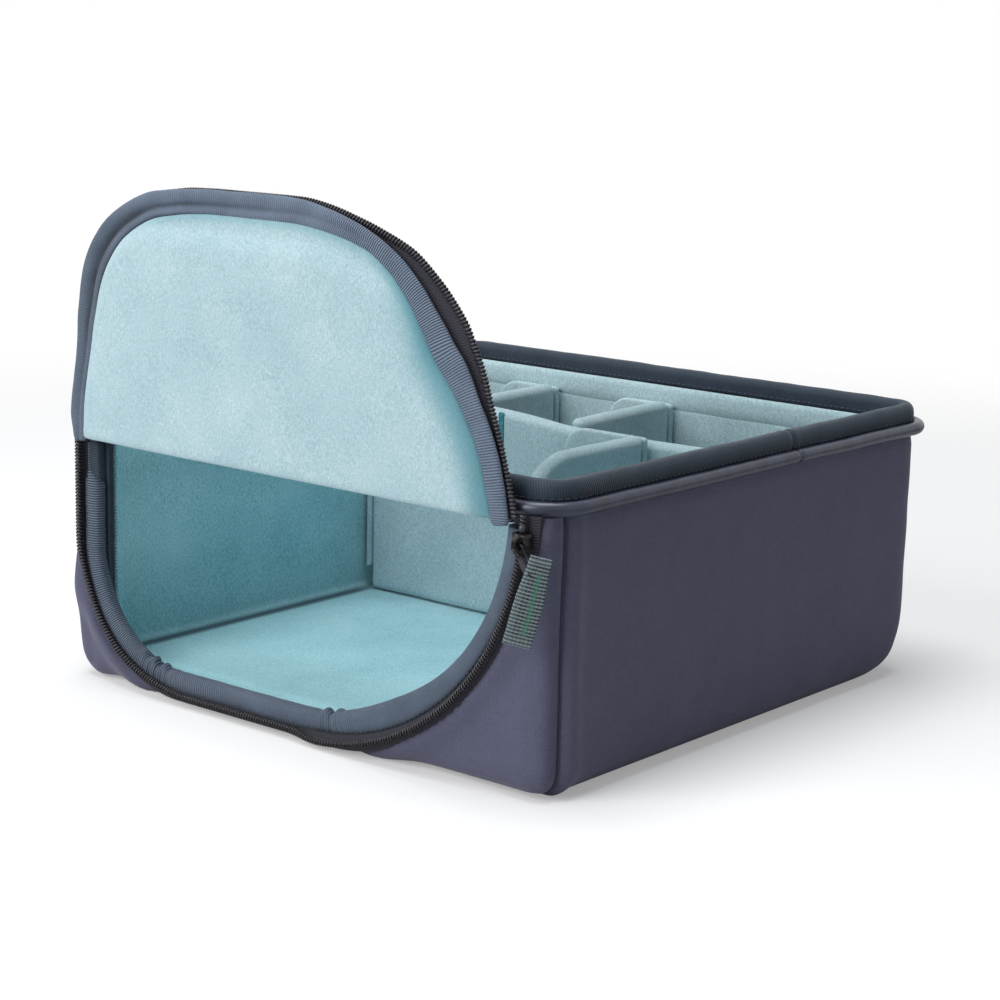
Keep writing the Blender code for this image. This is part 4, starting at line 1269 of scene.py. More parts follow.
# the rim's pieces: "joint" is where the binding's and the piping's ends meet, measured round the box
rim = {
    "joint": 299 * mm,
    "pipingHigh": 119.5 * mm,
    "pipingInset": -2.6 * mm,
    "pipingRadius": 3.0 * mm,
    "bindingLow": 121.5 * mm,
    "tapeLow": 116.5 * mm,
    "facingLow": 110.4 * mm,
    "facingFrontLow": 110.8 * mm,
    "facingHigh": 121.2 * mm,
    "threadHigh": 1.5 * mm,
    "outerThread": {"Spacing": 3.1 * mm, "Stitch length": 2.3 * mm, "Thread radius": 0.34 * mm, "Seed": 7},
    "innerThread": {"Spacing": 3.1 * mm, "Stitch length": 2.3 * mm, "Thread radius": 0.24 * mm, "Seed": 8},
}


def nearJoint(route):
    # how far each station lies from the joint
    station = lengths(route[0], True)[:-1]
    return np.minimum(station, station[-1] - station)


def rimBinding():
    route = planRoute(0.9 * mm, rim["joint"])
    origin = route[0]
    low, high = rim["bindingLow"], box["rim"]
    section = soften([
        (-0.1 * mm, low), (-0.4 * mm, low + 1.4 * mm), (-0.5 * mm, low + 4.5 * mm),
        (0.0, high - 1.6 * mm), (1.5 * mm, high + 0.2 * mm), (3.6 * mm, high + 0.3 * mm),
        (5.8 * mm, high), (7.0 * mm, high - 2.0 * mm), (7.1 * mm, low + 4.2 * mm),
        (6.9 * mm, low + 0.4 * mm), (5.8 * mm, low - 0.1 * mm), (1.2 * mm, low - 0.1 * mm),
    ])
    slow = wander(origin, 30 * mm, 11)
    # the ribs, with their painted shading, stand out most near the front on the right side, by the flap
    nearFlap = ease(60 * mm, 0, np.abs(origin[:, 1] + 105 * mm)) * (origin[:, 0] > 0)
    strong = np.clip(0.25 * ease(-0.2, 0.4, slow) + 0.6 * nearFlap, 0, 1)
    swell = 1 + 0.06 * slow + uneven(origin, (0.035, 9 * mm, 12))
    joint = nearJoint(route)
    swell = swell - 0.16 * hump(joint, 0, 0.5 * mm) + 0.05 * hump(joint, 3 * mm, 2 * mm)
    centre = section.mean(0)
    made = centre + (repeated(section, len(origin)) - centre) * swell[:, None, None]
    return swept("rim_ribbed_binding", route, made, closed=True, ribs=strong)


def rimPiping():
    route = planRoute(1.0 * mm, rim["joint"])
    turns = np.radians(np.arange(0, 360, 22.5))
    circle = np.stack([np.cos(turns), np.sin(turns)], 1)
    radius = rim["pipingRadius"] * (1 + uneven(route[0], (0.035, 20 * mm, 14)))
    radius = radius * (1 - 0.3 * hump(nearJoint(route), 0, 0.7 * mm))
    middle = np.array([rim["pipingInset"], rim["pipingHigh"]])
    section = middle + circle[None] * radius[:, None, None]
    section[..., 1] += uneven(route[0], (0.25 * mm, 30 * mm, 15))[:, None]
    return swept("rim_glossy_piping", route, section, closed=True)


def rimTape():
    low, high = rim["tapeLow"], rim["facingHigh"]
    section = [
        (0.8 * mm, low), (0.7 * mm, low + 2 * mm), (0.7 * mm, high - 0.3 * mm), (1.2 * mm, high),
        (5.4 * mm, high), (5.4 * mm, low),
    ]
    return swept("rim_recess_tape", planRoute(2.5 * mm), section, closed=True, sharp=0.8)


def rimFacing():
    route = planRoute(2.0 * mm)
    low, high = rim["facingLow"], rim["facingHigh"]
    section = soften([
        (8.6 * mm, low - 2 * mm), (10.0 * mm, low - 0.6 * mm), (10.7 * mm, low + 2.6 * mm),
        (10.2 * mm, low + 7 * mm), (9.3 * mm, high), (6.0 * mm, high), (6.0 * mm, low - 2 * mm),
    ], 1)
    section = repeated(section, len(route[0]))
    front = route[0][:, 1] < -136 * mm
    section[front, :, 1] = np.maximum(section[front, :, 1], rim["facingFrontLow"])
    section[..., 0] += uneven(route[0], (0.18 * mm, 25 * mm, 17))[:, None]
    return swept("rim_flat_facing", route, section, closed=True, sharp=0.9)


def rimThread(name, finish, inset, sizes):
    origin, inward, up = planRoute(2 * mm)
    route = origin + inward * inset + up * (rim["bindingLow"] + rim["threadHigh"])
    dress(layAlong(name, route, "stitches", finish, sizes, closed=True), finish, "box", "binding")


# the rim's binding wears the darker copy of the grosgrain, a painted shade
dress(rimBinding(), "rim_binding", "box", "binding", "rim_binding")
dress(rimPiping(), "piping", "box", "piping", "rim_piping")
dress(rimTape(), "zip_tape", "box", "zip_tape", "rim_seam_tape")
# the flat facing wears the paler lit copy of the lining cloth, a painted light
dress(rimFacing(), "lit_lining", "box", "lining", "rim_facing")
rimThread("rim_stitches", "thread_dark", -0.55 * mm, rim["outerThread"])
rimThread("rim_inner_stitches", "thread_navy", 7.2 * mm, rim["innerThread"])
print("rim done")

cornerStrip = {
    "turn": 5 * mm,
    "frontReach": 4 * mm,
    "sideReach": 2.2 * mm,
    "low": 14.6 * mm,
    "high": 111.2 * mm,
    "thick": 1.2 * mm,
    "lift": 0.3 * mm,
    "under": 0.15 * mm,
    "ripple": (0.25 * mm, 18 * mm, 21),
    "threadLow": 15 * mm,
    "threadHigh": 111 * mm,
    "thread": {
        "Spacing": 1.5 * mm,
        "Stitch length": 3.0 * mm,
        "Thread radius": 0.42 * mm,
        "Slant": 1.0,
        "Seed": 11,
    },
}


def cornerStrips():
    # grosgrain over the lining's seam in each front inside corner, with an overlocked edge, in the darker
    # copy of the grosgrain, a painted shade
    c = cornerStrip
    inner, turn = box["half"] - box["wall"], c["turn"]
    plan = [(inner - turn - c["frontReach"] * (1 - k / 5), -inner) for k in range(5)]
    plan += [(inner - turn + turn * math.sin(a), turn - inner - turn * math.cos(a))
        for a in np.radians(np.linspace(0, 90, 9))]
    plan += [(inner, turn - inner + c["sideReach"] * k / 8) for k in range(1, 9)]
    plan = np.array(plan)
    run = directions(np.gradient(plan, axis=0))
    inside = np.stack([-run[:, 1], run[:, 0]], 1)
    places = np.arange(len(plan))
    edge = np.minimum(places, places[::-1])
    crown = c["thick"] * np.sqrt(np.clip((edge + 0.4) / 2.5, 0, 1)) + c["lift"]
    levels = np.linspace(c["low"], c["high"], 130)
    end = plan[-1] + inside[-1] * 0.9 * mm
    for name, sign in (("left", -1), ("right", 1)):
        near, far = [], []
        for z in levels:
            up = np.full((len(plan), 1), z)
            thick = crown + uneven(np.concatenate([plan, up], 1), c["ripple"])
            near.append(np.concatenate([(plan + inside * thick[:, None]) * [sign, 1], up], 1))
            far.append(np.concatenate([(plan + inside * c["under"]) * [sign, 1], up], 1))
        near, far = thinLip(np.array(near)), thinLip(np.array(far))
        strip = pillow("corner_strip_" + name, near, far, clothMap(levels, lengths(plan)), ribs=0.3)
        dress(strip, "rim_binding", "box", "binding", "corner_binding_" + name)
        heights = np.linspace(c["threadLow"], c["threadHigh"], 60)
        seam = thinLip(np.array([(end[0] * sign, end[1] + 0.3 * mm, z) for z in heights]))
        over = layAlong("corner_overlock_" + name, seam, "stitches", "thread_teal", c["thread"])
        dress(over, "thread_teal", "box", "binding")


cornerStrips()
print("corner strips done")

# the opening's edge; sections are given as (inward from the outline, y)
openingEdge = {
    "bindingTop": 110.4 * mm,
    "tapeTop": 117.0 * mm,
    "coilTop": 117.4 * mm,
    "wrapTop": 110.8 * mm,
    "threadTop": 95 * mm,
    "tail": (1.6 * mm, -140.6 * mm),
    "tailStart": 97 * mm,
    "tailRun": 5 * mm,
    "tailShare": 0.12,
    "outerDraw": 1.4 * mm,
    "innerDraw": 3.4 * mm,
    "innerDrawPlace": (62 * mm, 34 * mm),
    "puckers": ((-86 * mm, 8 * mm, 10 * mm), (24 * mm, 5 * mm, 6 * mm)),
    "puckerPitch": 8.5 * mm,
    "puckerIn": 1.7 * mm,
    "puckerOut": 0.9 * mm,
    "shade": 0.28,
    "seamShade": 0.35,
    "coilInset": -2.0 * mm,
    "coilY": -146.7 * mm,
    "coil": {"Pitch": 1.55 * mm, "Half width": 1.08 * mm, "Half depth": 0.78 * mm, "Wire radius": 0.40 * mm},
    "threadPlace": (2.2 * mm, -142.2 * mm),
    "thread": {"Spacing": 2.9 * mm, "Stitch length": 2.1 * mm, "Thread radius": 0.2 * mm, "Seed": 13},
}


def edgeBinding():
    e = openingEdge
    origin, inward, up = openingRoute(e["bindingTop"], 0.8 * mm)
    station = lengths(origin)
    x, z = origin[:, 0], origin[:, 2]
    section = soften(np.array([
        (1.0, -139.9), (1.1, -141.2), (2.4, -142.2), (4.6, -142.7), (7.0, -142.5), (8.8, -141.6),
        (9.6, -139.6), (9.3, -137.6), (8.3, -136.7), (7.3, -137.4), (7.0, -139.0), (6.2, -139.8),
        (3.6, -139.9),
    ]) * mm)
    flatRun = ease(-60 * mm, -30 * mm, x) * ease(40 * mm, 10 * mm, x)
    # the ribs, with their painted shading, show on the left, faintly along the flat bottom, and fade out on
    # the right arc
    strong = (1 - 0.75 * flatRun) * ease(50 * mm, 10 * mm, x)
    centre = section.mean(0)
    swell = 1 + uneven(origin, (0.05, 25 * mm, 31), (0.03, 8 * mm, 32))
    made = centre + (repeated(section, len(origin)) - centre) * swell[:, None, None]
    # at the left the bound edge starts below the fold, with only its tail above
    tail = np.array(e["tail"])
    grown = np.sqrt(np.clip((e["tailStart"] - z) / e["tailRun"], 0, 1))
    started = np.where(x < 0, e["tailShare"] + (1 - e["tailShare"]) * grown, 1.0)
    made = tail + (made - tail) * started[:, None, None]
    outside, inner = ease(4.5 * mm, 1.5 * mm, section[:, 0]), ease(4 * mm, 9 * mm, section[:, 0])
    made[..., 0] -= np.outer(e["outerDraw"] * ease(20 * mm, 0, x) * started, outside)
    made[..., 0] += np.outer(e["innerDraw"] * hump(x, *e["innerDrawPlace"]), inner)
    pucker = np.zeros(len(station))
    for across, high, reach in e["puckers"]:
        near = np.hypot(x - across, z - high)
        pucker += hump(near, 0, reach) * np.sin(station * math.tau / e["puckerPitch"])
    made[..., 0] += np.outer(e["puckerIn"] * pucker, inner)
    made[..., 1] += np.outer(e["puckerOut"] * np.abs(pucker), ease(-138 * mm, -143 * mm, section[:, 1]))
    # painted shade over the whole bound edge, deeper in the gap along its outer edge next to the zip tape
    shade = e["shade"] + e["seamShade"] * hump(section[:, 0], 1.5 * mm, 1.2 * mm)
    shade = np.tile(shade, (len(station), 1))
    return swept("opening_ribbed_binding", (origin, inward, up), made, ribs=strong, shade=shade)


def coilShift(origin):
    # left of the slider's run the coil lies closer to the bound edge
    x, z = origin[:, 0], origin[:, 2]
    turn = ease(-60 * mm, -85 * mm, x) * ease(64 * mm, 40 * mm, z)
    return 1.6 * mm * ease(22 * mm, 0, x) + 1.9 * mm * turn - 0.8 * mm * ease(50 * mm, 70 * mm, z) * (x < 0)


def coilBack(origin):
    return 2.5 * mm * ease(22 * mm, 0, origin[:, 0])


def openingTape():
    origin, inward, up = openingRoute(openingEdge["tapeTop"], 1.5 * mm)
    section = np.array([
        (1.6, -140.3), (1.4, -141.6), (0.2, -142.8), (-1.3, -143.6), (-1.4, -147.0), (-2.6, -147.0),
        (-2.7, -144.0), (-3.6, -143.6), (-3.9, -142.6), (-4.0, -140.3),
    ]) * mm
    made = repeated(section, len(origin))
    x, z = origin[:, 0], origin[:, 2]
    wide = ease(10 * mm, 50 * mm, x) * (2.2 * mm + 1.6 * mm * ease(90 * mm, 98 * mm, z))
    made[:, 7:, 0] -= np.outer(wide, [0.4, 1.0, 1.0])
    made[..., 0] += np.outer(coilShift(origin), ease(-141 * mm, -144 * mm, section[:, 1]))
    made[..., 1] += np.outer(coilBack(origin), ease(-140.3 * mm, -143.6 * mm, section[:, 1]))
    return swept("opening_woven_tape", (origin, inward, up), made, sharp=0.9)


def openingCoil():
    e = openingEdge
    origin, inward, up = openingRoute(e["coilTop"], 1.0 * mm)
    inset = e["coilInset"] + coilShift(origin)
    high = e["coilY"] + coilBack(origin)
    route = origin + inward * inset[:, None] + up * high[:, None]
    grown = 1 + 0.48 * ease(22 * mm, 0, origin[:, 0])
    return layAlong("opening_coil_wire", route, "coil", "zip_coil", e["coil"], grown=grown)


def edgeWrap():
    # dark tape folded over the cut edge, seen where the bound edge has its tail; its darkness is the
    # grosgrain's darker copy, a painted shade
    section = soften(np.array([
        (2.0, -139.7), (2.0, -140.6), (6.9, -140.7), (8.2, -139.8), (8.4, -136.8), (7.7, -135.6),
        (6.4, -135.6), (6.3, -139.2),
    ]) * mm, 1)
    return swept("opening_edge_wrap", openingRoute(openingEdge["wrapTop"], 1.5 * mm), section, ribs=0.25)


def bindingThread():
    origin, inward, up = openingRoute(openingEdge["threadTop"], 1.5 * mm)
    inset, y = openingEdge["threadPlace"]
    route = origin + inward * inset + up * y
    return layAlong("opening_binding_stitches", route, "stitches", "thread_dark", openingEdge["thread"])


dress(edgeWrap(), "rim_binding", "box", "binding")
dress(edgeBinding(), "binding", "box", "binding", "opening_binding")
dress(openingTape(), "zip_tape", "box", "zip_tape", "opening_zip_tape")
dress(openingCoil(), "zip_coil", "box", "zip_coil", "opening_zip_coil")
dress(bindingThread(), "thread_dark", "box", "binding")
print("opening done")

# the flap is made shut and then turned up half a turn about its hinge
flap = {
    "hingeY": -147 * mm,
    "hingeZ": 114.5 * mm,
    "top": 113.7 * mm,
    "padTop": 114.3 * mm,
    "back": -143.4 * mm,
    "face": -147.9 * mm,
    "rows": 120,
    "columns": 130,
    "crown": 8.4 * mm,
    "edgeShare": 0.48,
    "edgeReach": 6 * mm,
    "broadShare": 0.52,
    "broadReach": 42 * mm,
    "hingeRoll": 4.5 * mm,
    "edgeRoom": 2.0 * mm,
    "innerRoom": 6 * mm,
    "innerRoomInset": (9.5 * mm, 20 * mm),
    "fold": 0.45 * mm,
    "foldPitch": 5.2 * mm,
    "foldPlace": (18 * mm, 26 * mm),
    "padUneven": ((0.55 * mm, 50 * mm, 41), (0.22 * mm, 16 * mm, 42)),
    "padInset": 10.6 * mm,
    "clothWider": 1.010,
    "clothLower": 0.012,
    "clothSwell": 1.3 * mm,
    "clothReach": 14 * mm,
    "clothUneven": (0.35 * mm, 45 * mm, 44),
    "lean": 2.8 * mm,
    "tapeY": -145.2 * mm,
    "coil": {"Pitch": 1.55 * mm, "Half width": 1.5 * mm, "Half depth": 0.8 * mm, "Wire radius": 0.42 * mm},
    "thread": {"Spacing": 2.6 * mm, "Stitch length": 2.3 * mm, "Thread radius": 0.22 * mm, "Seed": 17},
}


def turnUp(piece):
    # half a turn about the hinge, which lies along x
    turn = Matrix.Translation((0, flap["hingeY"], flap["hingeZ"])) @ Matrix.Rotation(math.pi, 4, "X")
    turn = turn @ Matrix.Translation((0, -flap["hingeY"], -flap["hingeZ"]))
    piece.data.transform(turn)
    piece.data.update()
    return piece


# along the flap's edge from its left end: how far out it is drawn, how far the zip band stands past the
# binding's usual edge, how much narrower the binding is there, and how far the padding stays back
flapEdge = np.array([
    (0, -0.2, -1.8, 0.0, 0.0), (8, -0.9, -1.8, 0.0, 0.0), (16, -1.3, -1.8, 0.0, 0.0),
    (24, -2.7, -1.8, 0.0, 0.0), (32, -3.9, -1.8, 0.0, 0.5), (40, -5.3, -1.8, 0.0, 1.0),
    (48, -6.2, -1.8, 0.0, 1.8), (56, -6.5, -1.8, 0.0, 2.6), (64, -6.4, -1.8, 0.0, 3.4),
    (72, -5.1, -1.8, 0.0, 4.4), (80, -3.5, -1.8, 0.0, 5.0), (88, -2.1, -1.8, 0.0, 5.0),
    (96, -1.3, -1.8, 0.0, 4.6), (104, -0.4, -1.8, 0.0, 4.0), (112, 0.4, -1.8, 0.0, 3.2),
    (120, 1.0, -1.8, 0.0, 2.6), (128, 2.0, -1.6, 0.0, 2.2), (144, 4.8, -0.7, 0.0, 1.5),
    (160, 6.7, -0.4, 0.0, 1.0), (176, 7.4, -0.5, 0.0, 0.6), (216, 7.7, -0.6, 0.0, 0.8),
    (228, 7.8, -0.8, 0.0, 1.2), (240, 7.3, -1.1, 0.0, 1.4), (256, 6.9, -1.6, 0.0, 0.9),
    (272, 6.1, -0.7, 0.0, 0.0), (288, 5.0, 1.2, 0.3, 1.2), (304, 3.2, 1.2, 1.4, 3.4),
    (316, 0.9, 2.2, 1.8, 4.2), (328, -1.8, 3.8, 0.4, 4.2), (340, -1.8, 2.6, -1.0, 3.6),
    (357, -1.6, 0.0, 0.4, 2.0), (370, -1.0, -0.6, -0.4, 1.0), (382, -0.2, -0.8, -0.6, 0.8),
    (396, 2.0, -1.0, 0.6, 1.8), (405, 3.4, -1.0, 1.2, 2.0),
])


def flapFit(station, column):
    # one column of the table above, softened
    fine = np.interp(station / mm, flapEdge[:, 0], flapEdge[:, column]) * mm
    step = float(station[1] - station[0])
    reach = max(2, int(7 * mm / max(step, 1e-6)))
    weight = np.hanning(2 * reach + 1)
    padded = np.concatenate([np.full(reach, fine[0]), fine, np.full(reach, fine[-1])])
    return np.convolve(padded, weight / weight.sum(), "valid")


def flapBulge(station):
    return flapFit(station, 1)


def flapLean(station):
    return flap["lean"] * hump(station, 318 * mm, 48 * mm)


def flapPlan():
    # the pad's spots in rows from the hinge to the far edge, with their distances from its edge and hinge
    count, columns = flap["rows"], flap["columns"]
    route, inward, up = openingRoute(flap["padTop"], 0.5 * mm, flapBulge)
    edge = route + inward * (flap["padInset"] + flapFit(lengths(route), 4))[:, None]
    far = np.argmin(edge[:, 2])
    left, right = edge[: far + 1], edge[far:]
    lowest = edge[far, 2] + 0.01 * mm
    shares = np.sin(np.linspace(0, math.pi / 2, count))
    heights = flap["padTop"] + (lowest - flap["padTop"]) * shares
    leftEnds = np.interp(-heights, -left[:, 2], left[:, 0])
    rightEnds = np.interp(heights, right[:, 2], right[:, 0])
    across = (1 - np.cos(np.linspace(0, math.pi, columns))) / 2
    x = leftEnds[:, None] + (rightEnds - leftEnds)[:, None] * across[None]
    z = np.repeat(heights[:, None], columns, 1)
    flatEdge = edge[::4, [0, 2]]
    spots = np.stack([x.reshape(-1), z.reshape(-1)], 1)
    near = np.full(len(spots), 1.0)
    for first, second in zip(flatEdge[:-1], flatEdge[1:]):
        span = second - first
        share = np.clip(((spots - first) @ span) / (span @ span), 0, 1)
        near = np.minimum(near, np.linalg.norm(spots - first - share[:, None] * span, axis=1))
    return x, z, near.reshape(x.shape), flap["padTop"] - z


def flapSheet(x, y, z):
    return np.stack([x, np.broadcast_to(y, x.shape), z], -1)


def flapPad(plan):
    # crowned padding under brushed lining
    x, z, near, hinge = plan
    rise = flap["edgeShare"] * quarterRound(near, flap["edgeReach"])
    rise = rise + flap["broadShare"] * dome(near, flap["broadReach"])
    swell = flap["crown"] * rise * (0.1 + 0.9 * quarterRound(hinge, flap["hingeRoll"]))
    room = flap["edgeRoom"] + flap["innerRoom"] * ease(*flap["innerRoomInset"], insetAt(x, z))
    swell = room * (1 - np.exp(-swell / room)) * 1.12
    wave = np.sin(x / flap["foldPitch"] + 1.3 * np.sin(z / (30 * mm)))
    folds = flap["fold"] * wave * hump(x, *flap["foldPlace"])
    folds = folds * ease(58 * mm, 4 * mm, hinge) * ease(0, 8 * mm, hinge)
    soft = uneven(flapSheet(x, 0.0, z), *flap["padUneven"])
    swell = swell + (folds + soft) * ease(0, 10 * mm, near)
    front = flapSheet(x, flap["back"] + np.maximum(swell, 0.02 * mm), z)
    back = flapSheet(x, flap["back"] - 1.2 * mm, z)
    # painted shade where the pad falls away at its right end and below its top
    shade = 0.8 * ease(15 * mm, 1 * mm, near) * ease(48 * mm, 92 * mm, x)
    below = ease(-95 * mm, -60 * mm, x) * ease(95 * mm, 60 * mm, x)
    shade = shade + 0.5 * ease(5 * mm, 0.5 * mm, near) * below
    return turnUp(pillow("flap_crowned_pad", front, back, np.stack([x, z], -1), shade=shade))


def flapBack(plan):
    # the outer cloth on the flap's far side, plain and a little soft, just wider than the pad
    x, z, near, hinge = plan
    x, z = x * flap["clothWider"], z - hinge * flap["clothLower"]
    soft = uneven(flapSheet(x, 0.0, z), flap["clothUneven"])
    swell = flap["clothSwell"] * dome(near, flap["clothReach"]) + soft
    front = flapSheet(x, flap["back"] - 1.5 * mm, z)
    back = flapSheet(x, flap["face"] + 1.5 * mm - swell, z)
    return turnUp(pillow("flap_outer_cloth", front, back, np.stack([x, z], -1)))


flapSpots = flapPlan()
# the flap's lining is the paler lit copy of the lining cloth, a painted light
flapCushion = dress(flapPad(flapSpots), "flap_lining", "flap", "lining", "flap_lining", "flap_foam")
dress(flapBack(flapSpots), "outer_fabric", "flap", "outer_fabric", "flap_outer")


def flapBinding():
    origin, inward, up = openingRoute(flap["top"] + 1.4 * mm, 0.8 * mm, flapBulge)
    station = lengths(origin)
    x = origin[:, 0]
    low = flap["back"]
    section = soften(np.array([
        (3.4, -0.4), (3.5, 0.6), (5.0, 1.5), (6.8, 1.4), (7.6, 1.0), (8.8, 1.5), (10.6, 1.2), (11.6, 0.3),
        (11.4, -0.6), (7.5, -0.9), (4.2, -0.8),
    ]) * mm + [0, low])
    place = section[:, 0]
    # the ribs, with their painted shading, show most on the right and low down
    strong = ease(20 * mm, 55 * mm, x) * (1 - 0.6 * ease(30 * mm, 70 * mm, origin[:, 2])) * 0.75 + 0.25
    made = repeated(section, len(station))
    wide = 2.3 * mm * ease(45 * mm, 0, x) * ease(0, 12 * mm, station) - flapFit(station, 3)
    made[..., 0] -= np.outer(wide, ease(9 * mm, 4 * mm, place))
    made[..., 0] += np.outer(flapFit(station, 4), ease(4 * mm, 11 * mm, place))
    smoothCrease = ease(40 * mm, 70 * mm, x)
    middle = hump(place, 7.4 * mm, 0.9 * mm) * (section[:, 1] > low + 1 * mm)
    corner = ease(52 * mm, 70 * mm, station) * ease(150 * mm, 128 * mm, station)
    made[..., 1] += np.outer(0.45 * mm * smoothCrease, middle)
    made[..., 1] -= np.outer((0.5 + 1.3 * corner) * mm * (1 - smoothCrease), middle)
    centre = section.mean(0)
    end = np.minimum(station, station[-1] - station)
    swell = 1 + uneven(origin, (0.05, 20 * mm, 46), (0.02, 7 * mm, 47))
    swell = swell * (0.75 + 0.25 * np.sqrt(np.clip(end / (2 * mm), 0, 1)))
    made = centre + (made - centre) * swell[:, None, None]
    # painted shade round the top left: in a crease, in the gap to the padding, and over the whole binding
    # there
    seen = section[:, 1] > low
    crease = ease(20 * mm, 60 * mm, station) * ease(260 * mm, 150 * mm, station)
    crease = crease * (0.75 + uneven(origin, (0.25, 12 * mm, 48)))
    gap = ease(30 * mm, 65 * mm, station) * ease(190 * mm, 150 * mm, station)
    shade = 0.75 * np.outer(crease, hump(place, 7.5 * mm, 0.7 * mm) * seen)
    shade = shade + 0.9 * np.outer(gap, ease(9.6 * mm, 11.2 * mm, place) * seen)
    shade = shade + 0.26 * ease(170 * mm, 90 * mm, station)[:, None]
    return turnUp(swept("flap_ribbed_binding", (origin, inward, up), made, ribs=strong, shade=shade))


def flapTape():
    origin, inward, up = openingRoute(flap["top"] - 0.8 * mm, 1.5 * mm, flapBulge)
    station = lengths(origin)
    section = np.array([
        (10.8, -144.3), (5.0, -144.3), (3.9, -144.6), (1.1, -144.75), (0.9, -145.2), (1.1, -145.65),
        (3.9, -145.75), (5.0, -145.1), (10.8, -145.1),
    ]) * mm
    made = repeated(section, len(origin))
    outside = ease(8 * mm, 4.5 * mm, section[:, 0])
    made[..., 0] -= np.outer(flapFit(station, 2), outside)
    made[..., 1] -= np.outer(flapLean(station), outside)
    return turnUp(swept("flap_woven_tape", (origin, inward, up), made, sharp=0.9))


def flapCoil():
    origin, inward, up = openingRoute(flap["top"] - 0.8 * mm, 1.0 * mm, flapBulge)
    station = lengths(origin)
    inset, y = 2.0 * mm - flapFit(station, 2), flap["tapeY"] - flapLean(station)
    route = origin + inward * inset[:, None] + up * y[:, None]
    return turnUp(layAlong("flap_coil_wire", route, "coil", "zip_coil", flap["coil"]))


def flapThread():
    origin, inward, up = openingRoute(flap["top"] - 2 * mm, 1.5 * mm, flapBulge)
    held = 11.9 * mm + flapFit(lengths(origin), 4)
    route = origin + inward * held[:, None] + up * (flap["back"] + 0.75 * mm)
    return turnUp(layAlong("flap_edge_stitches", route, "stitches", "thread_teal", flap["thread"]))


dress(flapBinding(), "binding", "flap", "binding", "flap_binding")
dress(flapTape(), "zip_tape", "flap", "zip_tape", "flap_zip_tape")
dress(flapCoil(), "zip_coil", "flap", "zip_coil", "flap_zip_coil")
dress(flapThread(), "thread_teal", "flap", "lining")

fold = {
    "left": -130.5 * mm,
    "right": 119 * mm,
    "stations": 100,
}


def foldStrip():
    # the sewn fabric that carries the flap: out from the front wall, round the fold and up
    section = soften(np.array([
        (-140.4, 112.2), (-140.4, 115.6), (-143.0, 115.4), (-145.6, 115.3), (-146.6, 116.4), (-146.8, 119.4),
        (-147.8, 119.4), (-147.9, 115.6), (-146.6, 113.9), (-143.5, 113.8), (-141.6, 113.4), (-141.4, 112.2),
    ]) * mm, 1)
    count = fold["stations"]
    origin = np.outer(np.linspace(fold["left"], fold["right"], count), [1.0, 0.0, 0.0])
    route = (origin, np.tile([0.0, 1.0, 0.0], (count, 1)), np.tile([0.0, 0.0, 1.0], (count, 1)))
    made = swept("flap_fold_strip", route, section)
    made.data.materials.append(finishes["outer_fabric"])
    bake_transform(made)
    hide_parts("flap_hinge_tape", "flap_fold")


foldStrip()
print("flap done")

divider = {
    "height": (10.3 * mm, 115 * mm),
    "tabHeight": (22 * mm, 113.5 * mm),
    "hookHeight": (28 * mm, 99.5 * mm),
    "end": 124.9 * mm,
    "tabFace": 125.2 * mm,
    "tabThick": 3 * mm,
    "hookGap": 0.3 * mm,
    "hookThick": 1.2 * mm,
    "hookInset": 6 * mm,
    "sag": 4.0 * mm,
    "step": 2.5 * mm,
    "soft": 0.7 * mm,
    "tabSoft": 0.2 * mm,
    "hookSoft": 0.05 * mm,
    "merge": 0.02 * mm,
}


def board(name, run, height, depth, across, seed, corner, soft, sag=None):
    # a padded board with rounded edges: along its run, its foot and top, its two faces, its two top corners
    runLow, runHigh = run
    foot, top = height
    thick = depth[1] - depth[0]
    middle = (depth[0] + depth[1]) / 2
    r = thick * 0.5
    near = r * (1 - np.cos(np.radians(np.linspace(0, 90, 8))))
    inner = np.linspace(runLow + r, runHigh - r, max(3, int((runHigh - runLow) / divider["step"])))
    ends = ((corner[0], runLow, 1), (corner[1], runHigh, -1))
    turns = np.radians(np.linspace(6, 84, 12))
    extra = [start + sign * radius * (1 - math.cos(a)) for radius, start, sign in ends for a in turns]
    places = np.unique(np.round(np.concatenate([runLow + near, inner, runHigh - near, extra]), 6))
    rise = np.full_like(places, top)
    if sag is not None:
        rise = rise - sag(places)
    cut = np.zeros_like(places)
    for radius, start, sign in ends:
        inside = np.clip(radius - (places - start) * sign, 0, radius)
        cut = np.maximum(cut, radius - np.sqrt(np.maximum(radius * radius - inside * inside, 0)))
    roof = rise - cut
    shares = np.linspace(0, 1, max(4, int((top - foot) / divider["step"])))
    rows = [roof - d for d in near[:-1]]
    rows += [(roof - r) + ((foot + r) - (roof - r)) * share for share in shares]
    rows += [np.full_like(places, foot + d) for d in near[:-1][::-1]]
    z = np.array(rows)
    x = np.broadcast_to(places, z.shape)
    edge = np.minimum(np.minimum(x - runLow, runHigh - x), z - foot)
    for radius, start, sign in ends:
        centre, low = start + sign * radius, rise[None] - radius
        cornered = ((x - centre) * sign < 0) & (z > low)
        edge = np.minimum(edge, np.where(cornered, radius - np.hypot(x - centre, z - low), rise[None] - z))
    spots = np.stack([x, np.full_like(z, depth[0]), z], -1)
    drift = uneven(spots, (soft, 35 * mm, seed), (0.3 * soft, 12 * mm, seed + 1)) * 0.5
    wide = thick / 2 * quarterRound(edge, r) * (1.04 - uneven(spots, (0.05, 20 * mm, seed + 2)))
    z = z + uneven(spots, (0.35 * soft, 20 * mm, seed + 3)) * ease(foot + 20 * mm, top, z)
    faces = []
    for level in (middle + drift - wide, middle + drift + wide):
        faces.append(np.stack([x, level, z] if across == "y" else [level, x, z], -1))
    return pillow(name, *faces, np.stack([x, z], -1), merge=divider["merge"])


